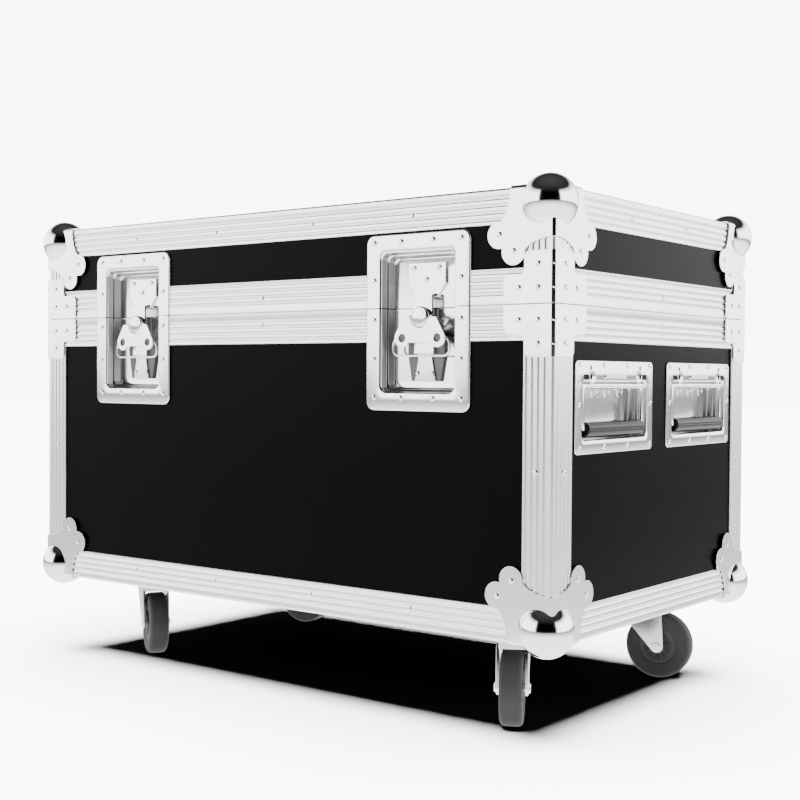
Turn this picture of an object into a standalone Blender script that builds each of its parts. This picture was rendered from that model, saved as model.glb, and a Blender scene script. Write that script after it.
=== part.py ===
"""Hard equipment case: a plywood case with aluminium edges, a hinged lid, recessed latches and handles,
ball corners and four swivel castors.

Metres, +Z up. The origin is on the ground under the middle of the case, +X runs along the case to its
right end and the latches face -Y.
"""
import math

import bmesh
import bpy
from mathutils import Matrix, Vector

# ---- driving dimensions -------------------------------------------------------------------------------
LENGTH = 0.738              # body, over the edge frame, along X
DEPTH = 0.430               # body, over the edge frame, along Y
BODY_HEIGHT = 0.430         # bottom of the edge frame to the top of the lid
BASE_HEIGHT = 0.320         # bottom of the edge frame to the seam

GAP = 0.0003                # between pieces that touch
PLY = 0.009                 # panel thickness
SHEET = 0.0018              # wall of an aluminium extrusion
LEG = 0.034                 # width of an extrusion's visible leg

CLOSURE_DEPTH = 0.008       # height of the solid part of the lid rim that holds the groove
TONGUE_HEIGHT = 0.005
TONGUE_WIDTH = 0.002
TONGUE_INSET = 0.0055       # outer face of the tongue behind the case's outer plane
TONGUE_CLEARANCE = 0.0008
TONGUE_BACK_STOP = 0.045    # the tongue ends this far before the back, clear of the hinge

BRACE_SHEET = 0.0015
BRACE_TAB = (0.0302, 0.0495)     # upright tab: width along the face, reach from the seam
BRACE_WING = (0.0545, 0.0280)    # sideways tab: the same
BRACE_SEAM = 0.0004              # back from the seam, so the two halves don't rub

BALL_RADIUS = 0.027
BALL_INSET = 0.0146         # ball centre behind each outer plane
CORNER_SHEET = 0.0015
EDGE_STEP = 0.0002          # each plate stops this much short of the next one's outer face
CORNER_REACH = 0.048        # where a corner plate's arch starts, along the case's edge
CORNER_ARCH = 0.018         # how far the arch runs on beyond that
LOBE_RADIUS = 0.013
LOBE_FAR = 0.060            # lobe centre, the larger of its two distances from the edges
LOBE_NEAR = 0.044           # and the smaller

LATCH_INSET = 0.158         # latch centre from the end of the case
LATCH_WIDTH = 0.128
LATCH_TOP_MARGIN = 0.002    # flange to the lid's top extrusion
LATCH_BELOW_SEAM = 0.103
LATCH_FLANGE = 0.018        # flange width round the pocket
LATCH_CORNER = 0.0095
LATCH_POCKET = 0.019        # pocket depth behind the flange's face
DISH_SHEET = 0.0015
FLANGE_PROUD = 0.0006       # latch flange in front of the case's outer plane

DISC_RADIUS = 0.0105
DISC_DROP = 0.009           # disc centre below the seam
SHAFT_RADIUS = 0.0055
HOUSING_WIDTH = 0.028
HOUSING_DROP = 0.073        # lower end of the cam housing below the seam
HOUSING_THICK = 0.007
HOOK_WIDTH = 0.023
HOOK_THICK = 0.0022
HOOK_REACH = 0.0135         # hook tip above the seam
KEEPER_WIDTH = 0.047
KEEPER_TIP = 0.027
KEEPER_HEIGHT = 0.035
KEEPER_CHAMFER = 0.013      # height of the sloping sides
KEEPER_RISE = 0.0105        # keeper's lower edge above the seam
KEEPER_THICK = 0.002        # its plate, flat on the dish's floor
KEEPER_LIP = 0.004          # height of the lip that stands up behind the hook
WING_THICK = 0.0016
WING_LOBE = 0.0095
WING_HOLE = 0.0043
WING_LOBE_X = 0.0217        # lobe centre beside the spindle's axis
WING_LOBE_DROP = 0.021      # and below it
WING_PEAK_SHARE = 0.35      # these are shares of the lobe's radius: peak inside the lobe's centre,
WING_FLAT_SHARE = 0.25      # flat top of each peak,
WING_HEM_SHARE = 0.45       # plate's lower edge below the lobes' centres
PIN_END_SHARE = 0.7         # and the pivot pin's end inside them
WING_SET_SHARE = 1.2        # plate in front of the pivot's axis, as a share of its thickness
HOOK_TRAVEL = 0.006         # over half a turn of the spindle

HANDLE_WIDTH = 0.1585
HANDLE_HEIGHT = 0.090
HANDLE_CENTRE_Z = 0.223     # above the bottom of the edge frame
HANDLE_MARGIN = 0.00615     # flange to the corner post
HANDLE_SIDE = 0.013         # flange width at the sides and the bottom
HANDLE_TOP = 0.021          # flange width at the top
HANDLE_CORNER = 0.005
HANDLE_POCKET = 0.0195
BAIL_WIRE = 0.003           # radius
BAIL_HALF = 0.0605          # leg centre from the handle's middle
BAIL_DEPTH = 0.0045         # bail's centre plane behind the flange's face
BAIL_DROP = 0.0035          # pivot axis below the pocket's upper edge
BAIL_BEND = 0.007
GRIP_RADIUS = 0.0075
GRIP_RISE = 0.0105          # grip centre above the pocket's lower edge

PIN_RADIUS = 0.0022
KNUCKLE_RADIUS = 0.0042
PIN_BEHIND = 0.0065         # hinge pin behind the case's back plane
HINGE_LEAF = 0.024
HINGE_SHEET = 0.0015
HINGE_LENGTH = 0.590
HINGE_KNUCKLES = 9

CASTOR_END = 0.096          # swivel axis from the end of the case
CASTOR_SIDE = 0.087         # swivel axis from the front or the back
CASTOR_PLATE = (0.076, 0.060)
PLATE_THICK = 0.003
PLATE_CORNER = 0.0075
RACE_RADIUS = 0.020
RACE_HEIGHT = 0.0075
CROWN_RADIUS = 0.0225
CROWN_ROOM = 0.007          # wheel to the underside of the crown
CROWN_THICK = 0.004
CROWN_REAR = 0.75           # how far the fork's deck runs back, as a share of the crown's radius
WHEEL_RADIUS = 0.0375
WHEEL_WIDTH = 0.023
WHEEL_SHOULDER = 0.005
TRAIL = 0.032
FORK_SHEET = 0.0028
FORK_CLEARANCE = 0.0014     # wheel to fork leg, each side
AXLE_RADIUS = 0.004
AXLE_BOSS = 0.0075          # fork leg's radius round the axle
AXLE_END = 0.0025           # axle past the fork leg
KINGPIN_RADIUS = 0.005
BRAKE_PIN_RADIUS = 0.0015
BRAKE_HUB_RADIUS = 0.003
BRAKE_PIVOT = 0.003         # brake pivot behind the axle, along the trail
BRAKE_WIDTH = 0.018
BRAKE_SHEET = 0.0022
BRAKE_LENGTH = 0.036
BRAKE_SLOPE = 0.006         # how far the pedal drops along its length
BRAKE_PAD = (0.008, 0.014)  # the pad's near and far sides, from the pivot
PAD_CLEARANCE = 0.0029      # released pad to tread

# ---- places worked out from those ---------------------------------------------------------------------
HALF_X = LENGTH / 2
HALF_Y = DEPTH / 2
SKIN = SHEET + GAP                       # panel face behind the case's outer plane
CASTOR_STACK = CROWN_THICK + GAP + RACE_HEIGHT + PLATE_THICK + GAP
BOTTOM = 2 * WHEEL_RADIUS + CROWN_ROOM + CASTOR_STACK - SKIN
SEAM = BOTTOM + BASE_HEIGHT
TOP = BOTTOM + BODY_HEIGHT
WALL = SKIN + PLY                        # inner face of a panel
LATCH_X = HALF_X - LATCH_INSET
LATCH_ABOVE_SEAM = TOP - SEAM - LEG - LATCH_TOP_MARGIN
HANDLE_SPREAD = HALF_Y - LEG - HANDLE_MARGIN - HANDLE_WIDTH / 2     # from the middle of the case's end
FRONT_FACE = -HALF_Y - FLANGE_PROUD      # the latch flanges' face
FLOOR_FACE = BOTTOM + SKIN               # underside of the floor panel
HANDLE_FACE = HALF_X - GAP               # the handle flanges' face
PIN_Y = HALF_Y + PIN_BEHIND
AXIS_HEIGHT = WHEEL_RADIUS
RACE_TOP = FLOOR_FACE - GAP - PLATE_THICK
CROWN_TOP = RACE_TOP - RACE_HEIGHT - GAP

# Where each castor stands, the way its wheel trails (degrees from +X) and whether it has a brake.
CASTORS = {
    "front_right": (1, -1, -61.0, False),
    "front_left": (-1, -1, -33.0, False),
    "back_right": (1, 1, 13.0, True),
    "back_left": (-1, 1, 8.0, True),
}

ALUMINIUM = ("aluminium", (0.80, 0.80, 0.81), 0.32, 1.0)
LAMINATE = ("black_laminate", (0.012, 0.012, 0.013), 0.34, 0.0)
CHROME = ("chrome", (0.86, 0.86, 0.87), 0.10, 1.0)
ZINC = ("zinc_plate", (0.72, 0.72, 0.73), 0.28, 1.0)
RUBBER = ("grey_rubber", (0.15, 0.155, 0.15), 0.70, 0.0)
GRIP = ("black_grip", (0.015, 0.015, 0.015), 0.45, 0.0)
CIRCLE = 16


# ---- helpers ------------------------------------------------------------------------------------------
def clear_scene():
    for item in list(bpy.data.objects):
        bpy.data.objects.remove(item, do_unlink=True)


def make_collection(name):
    made = bpy.data.collections.new(name)
    bpy.context.scene.collection.children.link(made)
    return made


clear_scene()
PARTS = make_collection("hard_equipment_case")
CUTTERS = make_collection("cutters")
CUTTERS.hide_render = True


def material(finish):
    name, colour, roughness, metallic = finish
    found = bpy.data.materials.get(name)
    if found:
        return found
    made = bpy.data.materials.new(name)
    made.use_nodes = True
    shader = made.node_tree.nodes["Principled BSDF"]
    shader.inputs["Base Color"].default_value = (*colour, 1.0)
    shader.inputs["Roughness"].default_value = roughness
    shader.inputs["Metallic"].default_value = metallic
    made.diffuse_color = (*colour, 1.0)
    return made


def add_object(name, mesh, collection=CUTTERS, place=(0, 0, 0)):
    made = bpy.data.objects.new(name, mesh)
    made.location = place
    collection.objects.link(made)
    if collection is CUTTERS:
        made.hide_render = True
        made.display_type = "WIRE"
    return made


def as_part(obj, name, finish, smooth=False):
    """Turn a working shape into one of the case's pieces."""
    CUTTERS.objects.unlink(obj)
    PARTS.objects.link(obj)
    obj.name = name
    obj.hide_render = False
    obj.display_type = "TEXTURED"
    obj.data.materials.clear()
    obj.data.materials.append(material(finish))
    if smooth:
        obj.data.shade_smooth()
        obj.data.set_sharp_from_angle(angle=math.radians(35))
    return obj


def mesh_from(shape, name):
    mesh = bpy.data.meshes.new(name)
    shape.to_mesh(mesh)
    shape.free()
    return mesh


def box(low, high):
    """A box between two opposite corners, in world coordinates."""
    low, high = (Vector(pick(pair) for pair in zip(low, high)) for pick in (min, max))
    shape = bmesh.new()
    bmesh.ops.create_cube(shape, size=1.0)
    bmesh.ops.scale(shape, vec=high - low, verts=shape.verts)
    return add_object("box", mesh_from(shape, "box"), place=(low + high) / 2)


def cylinder(start, end, radius, segments=CIRCLE, end_radius=None):
    """A round bar from start to end; the second radius makes it a cone."""
    start, end = Vector(start), Vector(end)
    run = end - start
    shape = bmesh.new()
    bmesh.ops.create_cone(shape, cap_ends=True, segments=segments, radius1=radius,
                          radius2=radius if end_radius is None else end_radius, depth=run.length)
    turn = Vector((0, 0, 1)).rotation_difference(run.normalized()).to_matrix()
    bmesh.ops.rotate(shape, cent=(0, 0, 0), matrix=turn, verts=shape.verts)
    return add_object("bar", mesh_from(shape, "bar"), place=(start + end) / 2)


def ball(centre, radius):
    shape = bmesh.new()
    bmesh.ops.create_uvsphere(shape, u_segments=18, v_segments=10, radius=radius)
    return add_object("ball", mesh_from(shape, "ball"), place=centre)


def curve_mesh(curve, name):
    """The solid that a curve object makes, as a mesh object with its caps welded."""
    maker = bpy.data.objects.new(name, curve)
    CUTTERS.objects.link(maker)
    graph = bpy.context.evaluated_depsgraph_get()
    mesh = bpy.data.meshes.new_from_object(maker.evaluated_get(graph))
    shape = bmesh.new()
    shape.from_mesh(mesh)
    bmesh.ops.remove_doubles(shape, verts=shape.verts, dist=1e-6)
    bmesh.ops.recalc_face_normals(shape, faces=shape.faces)
    shape.to_mesh(mesh)
    shape.free()
    bpy.data.objects.remove(maker, do_unlink=True)
    return mesh


def flat_plate(outline, thickness, across, up, place, holes=()):
    """A plate of the given outline, centred on place; across and up are its outline's two directions."""
    curve = bpy.data.curves.new("outline", "CURVE")
    curve.dimensions = "2D"
    curve.fill_mode = "BOTH"
    curve.extrude = thickness / 2
    for loop in (outline, *holes):
        spline = curve.splines.new("POLY")
        spline.points.add(len(loop) - 1)
        for point, (u, v) in zip(spline.points, loop):
            point.co = (u, v, 0, 1)
        spline.use_cyclic_u = True
    mesh = curve_mesh(curve, "plate")
    across, up = Vector(across), Vector(up)
    facing = across.cross(up)
    turn = Matrix((across, up, facing)).transposed().to_4x4()
    mesh.transform(turn)
    return add_object("plate", mesh, place=place)


def wire(points, radius, closed=False):
    """A round wire through the points."""
    curve = bpy.data.curves.new("wire", "CURVE")
    curve.dimensions = "3D"
    curve.bevel_depth = radius
    curve.bevel_resolution = 2
    curve.use_fill_caps = True
    curve.render_resolution_u = 0
    spline = curve.splines.new("POLY")
    spline.points.add(len(points) - 1)
    for point, place in zip(spline.points, points):
        point.co = (*place, 1)
    spline.use_cyclic_u = closed
    return add_object("wire", curve_mesh(curve, "wire"))


def turned(profile, centre, axis, segments=CIRCLE):
    """A ring turned round an axis: the profile is (radius, distance along the axis) points."""
    mesh = bpy.data.meshes.new("ring")
    shape = bmesh.new()
    points = [shape.verts.new((radius, 0, along)) for radius, along in profile]
    for here, there in zip(points, points[1:] + points[:1]):
        shape.edges.new((here, there))
    shape.to_mesh(mesh)
    shape.free()
    made = add_object("ring", mesh, place=centre)
    screw = made.modifiers.new("turn", "SCREW")
    screw.axis = "Z"
    screw.angle = math.tau
    screw.steps = segments
    screw.render_steps = segments
    screw.use_merge_vertices = True
    screw.merge_threshold = 0.00001
    made.rotation_euler = Vector((0, 0, 1)).rotation_difference(Vector(axis)).to_euler()
    return made


def combine(obj, other, operation):
    change = obj.modifiers.new(operation.lower(), "BOOLEAN")
    change.operation = operation
    change.solver = "EXACT"
    change.object = other
    return obj


def cut(obj, *others):
    for other in others:
        combine(obj, other, "DIFFERENCE")
    return obj


def join(obj, *others):
    for other in others:
        combine(obj, other, "UNION")
    return obj


def keep(obj, other):
    return combine(obj, other, "INTERSECT")


def set_origin(obj, point):
    """Move an object's origin onto its joint's axis and leave its shape where it is."""
    bpy.context.view_layer.update()
    point = Vector(point)
    obj.data.transform(Matrix.Translation(obj.matrix_world.inverted() @ point).inverted())
    obj.location = point
    return obj


def arc(centre, radius, start, end, steps=6):
    """Points on a circle from one angle to another, in degrees."""
    points = []
    for step in range(steps + 1):
        angle = math.radians(start + (end - start) * step / steps)
        points.append((centre[0] + radius * math.cos(angle), centre[1] + radius * math.sin(angle)))
    return points


def rounded(low, high, radius, square=()):
    """A rectangle's outline with round corners; square names corners (0 to 3) that stay sharp."""
    centres = [(high[0], high[1]), (low[0], high[1]), (low[0], low[1]), (high[0], low[1])]
    points = []
    for corner, (x, y) in enumerate(centres):
        if corner in square:
            points.append((x, y))
            continue
        inward_x = -radius if x == high[0] else radius
        inward_y = -radius if y == high[1] else radius
        points += arc((x + inward_x, y + inward_y), radius, corner * 90, corner * 90 + 90, 4)
    return points


# ---- panels -------------------------------------------------------------------------------------------
def latch_opening(side):
    """What the latch pocket needs cut out of the front panels and rims."""
    half = LATCH_WIDTH / 2 - LATCH_FLANGE + DISH_SHEET + GAP
    low = SEAM - LATCH_BELOW_SEAM + LATCH_FLANGE - DISH_SHEET - GAP
    high = SEAM + LATCH_ABOVE_SEAM - LATCH_FLANGE + DISH_SHEET + GAP
    x = side * LATCH_X
    return box((x - half, -HALF_Y - PLY, low), (x + half, -HALF_Y + 3 * PLY, high))


def handle_opening(end, row):
    half = HANDLE_WIDTH / 2 - HANDLE_SIDE + DISH_SHEET + GAP
    low = BOTTOM + HANDLE_CENTRE_Z - HANDLE_HEIGHT / 2 + HANDLE_SIDE - DISH_SHEET - GAP
    high = BOTTOM + HANDLE_CENTRE_Z + HANDLE_HEIGHT / 2 - HANDLE_TOP + DISH_SHEET + GAP
    y = row * HANDLE_SPREAD
    return box((end * (HALF_X + PLY), y - half, low), (end * (HALF_X - 3 * PLY), y + half, high))


def shell_panels(prefix, low, high):
    """Four upright walls: the front and back run through, the ends stand between them."""
    outer_x, outer_y = HALF_X - SKIN, HALF_Y - SKIN
    inner_y = HALF_Y - WALL - GAP
    panels = {}
    for name, side in (("front", -1), ("back", 1)):
        near, far = sorted((side * outer_y, side * (HALF_Y - WALL)))
        panels[name] = box((-outer_x, near, low), (outer_x, far, high))
    for name, side in (("left", -1), ("right", 1)):
        near, far = sorted((side * outer_x, side * (HALF_X - WALL)))
        panels[name] = box((near, -inner_y, low), (far, inner_y, high))
    for name, panel in panels.items():
        as_part(panel, f"{prefix}_{name}_panel", LAMINATE)
    return panels


def build_panels():
    base = shell_panels("base", BOTTOM + SKIN, SEAM - SHEET - GAP)
    lid = shell_panels("lid", SEAM + CLOSURE_DEPTH + GAP, TOP - SKIN)
    for side in (-1, 1):
        cut(base["front"], latch_opening(side))
        cut(lid["front"], latch_opening(side))
    for name, end in (("left", -1), ("right", 1)):
        for row in (-1, 1):
            cut(base[name], handle_opening(end, row))

    inner_x, inner_y = HALF_X - WALL - GAP, HALF_Y - WALL - GAP
    floor = box((-inner_x, -inner_y, FLOOR_FACE), (inner_x, inner_y, FLOOR_FACE + PLY))
    as_part(floor, "base_floor_panel", LAMINATE)

    # The lid's top board has a shallow step round its edge, so only its open face stands up to the frame.
    step = GAP * 2
    board = box((-inner_x, -inner_y, TOP - WALL), (inner_x, inner_y, TOP - SKIN - step))
    face_x, face_y = HALF_X - LEG - GAP, HALF_Y - LEG - GAP
    join(board, box((-face_x, -face_y, TOP - WALL + step), (face_x, face_y, TOP - SKIN)))
    as_part(board, "lid_top_panel", LAMINATE)


# ---- aluminium frames ---------------------------------------------------------------------------------
def edge_frame(name, low, high, closed_low):
    """A ring of angle extrusion with four corner posts; the ring is at the bottom or at the top."""
    frame = box((-HALF_X, -HALF_Y, low), (HALF_X, HALF_Y, high))
    reach = 3 * LEG
    inner_low = low + SHEET if closed_low else low - reach
    inner_high = high + reach if closed_low else high - SHEET
    cut(frame, box((-HALF_X + SHEET, -HALF_Y + SHEET, inner_low), (HALF_X - SHEET, HALF_Y - SHEET, inner_high)))
    window_low = low + LEG if closed_low else low - reach
    window_high = high + reach if closed_low else high - LEG
    window_x, window_y = HALF_X - LEG, HALF_Y - LEG
    cut(frame, box((-window_x, -DEPTH, window_low), (window_x, DEPTH, window_high)))
    cut(frame, box((-LENGTH, -window_y, window_low), (LENGTH, window_y, window_high)))
    cut(frame, box((-window_x, -window_y, low - reach), (window_x, window_y, high + reach)))
    return as_part(frame, name, ALUMINIUM)


def braces(upper):
    """The four wrapped corner plates on one side of the seam, as one shape to join to that side's rim."""
    sign = 1 if upper else -1
    out = GAP + BRACE_SHEET
    inside = SHEET / 2
    start = SEAM + sign * BRACE_SEAM
    tab_end = SEAM + sign * BRACE_TAB[1]
    wing_end = SEAM + sign * BRACE_WING[1]
    beyond = SEAM + sign * 3 * LEG
    shape = box((-HALF_X - out, -HALF_Y - out, start), (HALF_X + out, HALF_Y + out, tab_end))
    inner_x, inner_y = HALF_X - inside, HALF_Y - inside
    cut(shape, box((-inner_x, -inner_y, SEAM - 3 * LEG), (inner_x, inner_y, SEAM + 3 * LEG)))
    for width, low in ((BRACE_WING[0], SEAM - sign * LEG), (BRACE_TAB[0], wing_end)):
        x, y = HALF_X - width, HALF_Y - width
        cut(shape, box((-x, -DEPTH, low), (x, DEPTH, beyond)))
        cut(shape, box((-LENGTH, -y, low), (LENGTH, y, beyond)))
    return shape


def frame_clearance(low, high):
    """The space that an edge frame takes, grown by the gap."""
    return box((-HALF_X - GAP, -HALF_Y - GAP, low), (HALF_X + GAP, HALF_Y + GAP, high))


def closure_ring(low, high, cap_low, cap_high):
    """A rim round the case: an upright leg and a ledge over the panels' edges."""
    ring = box((-HALF_X, -HALF_Y, low), (HALF_X, HALF_Y, high))
    inner_x, inner_y = HALF_X - SHEET, HALF_Y - SHEET
    reach = 3 * LEG
    hollow_low, hollow_high = (low - reach, cap_low) if cap_high == high else (cap_high, high + reach)
    cut(ring, box((-inner_x, -inner_y, hollow_low), (inner_x, inner_y, hollow_high)))
    cut(ring, box((-HALF_X + WALL, -HALF_Y + WALL, low - reach), (HALF_X - WALL, HALF_Y - WALL, high + reach)))
    return ring


def inset_ring(inset, width, low, high, back):
    """A square-cornered ring, set in from the case's outer planes, open towards the back if asked."""
    x, y = HALF_X - inset, HALF_Y - inset
    ring = box((-x, -y, low), (x, y, high))
    cut(ring, box((-x + width, -y + width, low - LEG), (x - width, y - width, high + LEG)))
    if not back:
        cut(ring, box((-LENGTH, HALF_Y - TONGUE_BACK_STOP, low - LEG), (LENGTH, DEPTH, high + LEG)))
    return ring


def latch_gap(side):
    """The space that a latch flange takes across the rims."""
    half = LATCH_WIDTH / 2 + GAP
    x = side * LATCH_X
    return box((x - half, -HALF_Y - PLY, SEAM - 3 * LEG), (x + half, -HALF_Y + 3 * PLY, SEAM + 3 * LEG))


def split_rim(make, name):
    """Make the rim twice: the long piece round the back, and the short one between the latches."""
    reach = LATCH_X - LATCH_WIDTH / 2 - GAP
    between = ((-reach, -HALF_Y - PLY, SEAM - 3 * LEG), (reach, -HALF_Y + 3 * PLY, SEAM + 3 * LEG))
    long_piece = make(True)
    cut(long_piece, latch_gap(-1), latch_gap(1), box(*between))
    as_part(long_piece, name, ALUMINIUM)
    short_piece = keep(make(False), box(*between))
    as_part(short_piece, f"{name}_front", ALUMINIUM)


def base_rim(with_braces):
    ring = closure_ring(SEAM - LEG + GAP, SEAM, SEAM - SHEET, SEAM)
    join(ring, inset_ring(TONGUE_INSET, TONGUE_WIDTH, SEAM - SHEET / 2, SEAM + TONGUE_HEIGHT, back=False))
    if with_braces:
        join(ring, cut(braces(upper=False), frame_clearance(BOTTOM, SEAM - LEG + 2 * GAP)))
    return ring


def lid_rim(with_braces):
    low = SEAM + GAP
    ring = closure_ring(low, SEAM + LEG, low, SEAM + CLOSURE_DEPTH)
    groove = inset_ring(TONGUE_INSET - TONGUE_CLEARANCE, TONGUE_WIDTH + 2 * TONGUE_CLEARANCE,
                        SEAM - LEG, SEAM + TONGUE_HEIGHT + TONGUE_CLEARANCE, back=True)
    cut(ring, groove)
    if with_braces:
        join(ring, cut(braces(upper=True), frame_clearance(SEAM + LEG - GAP, TOP)))
    return ring


def build_frames():
    edge_frame("base_edge_frame", BOTTOM, SEAM - LEG, closed_low=True)
    edge_frame("lid_edge_frame", SEAM + LEG + GAP, TOP, closed_low=False)
    split_rim(base_rim, "base_rim")
    split_rim(lid_rim, "lid_rim")


# ---- ball corners -------------------------------------------------------------------------------------
def corner_outline():
    """One plate of a ball corner, measured from the case's corner along its two edges."""
    out = -GAP - CORNER_SHEET + EDGE_STEP
    far, near, radius = LOBE_FAR, LOBE_NEAR, LOBE_RADIUS
    notch = math.degrees(math.asin((far - near) / math.sqrt(2) / radius))
    lower = []
    for step in range(5):
        angle = math.radians(90 - 75 * step / 4)
        rise = (near - radius + 0.002) * math.cos(angle) / math.cos(math.radians(15))
        lower.append((CORNER_REACH + CORNER_ARCH * (1 - math.sin(angle)), rise))
    lower[0] = (CORNER_REACH, out)
    lower += arc((far, near), radius, -90, 45 + notch, 7)
    upper = [(v, u) for u, v in reversed(lower)]
    return [(out, out)] + lower + upper


def build_corner(name, end, side, upper):
    """A ball and its three lobed plates, hollow where the case's own corner is."""
    z = TOP if upper else BOTTOM
    level = 1 if upper else -1
    corner = Vector((end * HALF_X, side * HALF_Y, z))
    inward = Vector((-end, -side, -level))
    body = ball(corner + inward * BALL_INSET, BALL_RADIUS)
    thick = PLY + GAP + CORNER_SHEET
    lift = GAP + CORNER_SHEET - thick / 2
    outline = corner_outline()
    for first, second, normal in ((0, 1, 2), (1, 2, 0), (2, 0, 1)):
        across, up, out = Vector(), Vector(), Vector()
        across[first] = inward[first]
        up[second] = inward[second]
        out[normal] = -inward[normal]
        join(body, flat_plate(outline, thick, across, up, corner + out * lift))
    grown = box((-HALF_X - GAP, -HALF_Y - GAP, BOTTOM - GAP), (HALF_X + GAP, HALF_Y + GAP, TOP + GAP))
    cut(body, grown)
    return as_part(body, name, CHROME, smooth=True)


def build_corners():
    for shell, upper in (("lid", True), ("base", False)):
        for row, side in (("front", -1), ("back", 1)):
            for hand, end in (("left", -1), ("right", 1)):
                build_corner(f"{shell}_corner_{row}_{hand}", end, side, upper)


# ---- latches ------------------------------------------------------------------------------------------
def latch_dish(side, upper):
    """Half of a pressed dish: a flange on the panel's face and a tray through it, open at the seam."""
    x = side * LATCH_X
    half = LATCH_WIDTH / 2
    low = SEAM - LATCH_BELOW_SEAM
    high = SEAM + LATCH_ABOVE_SEAM
    flange_back = -HALF_Y + SHEET
    flange = flat_plate(rounded((-half, low), (half, high), LATCH_CORNER), flange_back - FRONT_FACE,
                        (1, 0, 0), (0, 0, 1), (x, (flange_back + FRONT_FACE) / 2, 0))
    inner = half - LATCH_FLANGE
    floor = FRONT_FACE + LATCH_POCKET
    shell = DISH_SHEET
    tray_low, tray_high = low + LATCH_FLANGE, high - LATCH_FLANGE
    join(flange, box((x - inner - shell, flange_back - shell / 2, tray_low - shell),
                     (x + inner + shell, floor + shell, tray_high + shell)))
    cut(flange, box((x - inner, FRONT_FACE - PLY, tray_low), (x + inner, floor, tray_high)))
    reach = LATCH_BELOW_SEAM + LATCH_ABOVE_SEAM
    if upper:
        cut(flange, box((x - half - LEG, -DEPTH, SEAM - reach), (x + half + LEG, 0, SEAM + GAP)))
    else:
        cut(flange, box((x - half - LEG, -DEPTH, SEAM), (x + half + LEG, 0, SEAM + reach)))
    return flange


def add_housing(dish, side, axis_z):
    """The cam housing on the lower dish's floor, bored for the spindle."""
    x = side * LATCH_X
    floor = FRONT_FACE + LATCH_POCKET
    front = floor - HOUSING_THICK
    half = HOUSING_WIDTH / 2
    join(dish, box((x - half, front, SEAM - HOUSING_DROP),
                   (x + half, floor + DISH_SHEET / 2, SEAM - BRACE_SEAM)))
    bore = (SHAFT_RADIUS + GAP) / math.cos(math.pi / CIRCLE)
    cut(dish, cylinder((x, front - PLY, axis_z), (x, floor - SHEET, axis_z), bore))
    return front


def keeper_outline():
    tip, half, chamfer = KEEPER_TIP / 2, KEEPER_WIDTH / 2, KEEPER_CHAMFER
    right = [(tip, 0), (half, chamfer), (half, KEEPER_HEIGHT)]
    return [(-tip, 0)] + right + [(-half, KEEPER_HEIGHT), (-half, chamfer)]


def wing_outline():
    """The folding handle: two round lobes joined by a plate with a notch for the disc."""
    x, drop, radius = WING_LOBE_X, -WING_LOBE_DROP, WING_LOBE
    notch = DISC_RADIUS + 2 * GAP
    peak = (x - radius * WING_PEAK_SHARE, 0)
    right = arc((0, 0), notch, -90, -5, 6)
    right += [(peak[0] - radius * WING_FLAT_SHARE, peak[1]), peak]
    right += [(x + radius * math.cos(angle), drop + radius * math.sin(angle))
              for angle in (math.radians(25 - 25 * step) for step in range(8))]
    right.append((x - radius, drop - radius * WING_HEM_SHARE))
    left = [(-u, v) for u, v in reversed(right)]
    return left[:-1] + right


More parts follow.
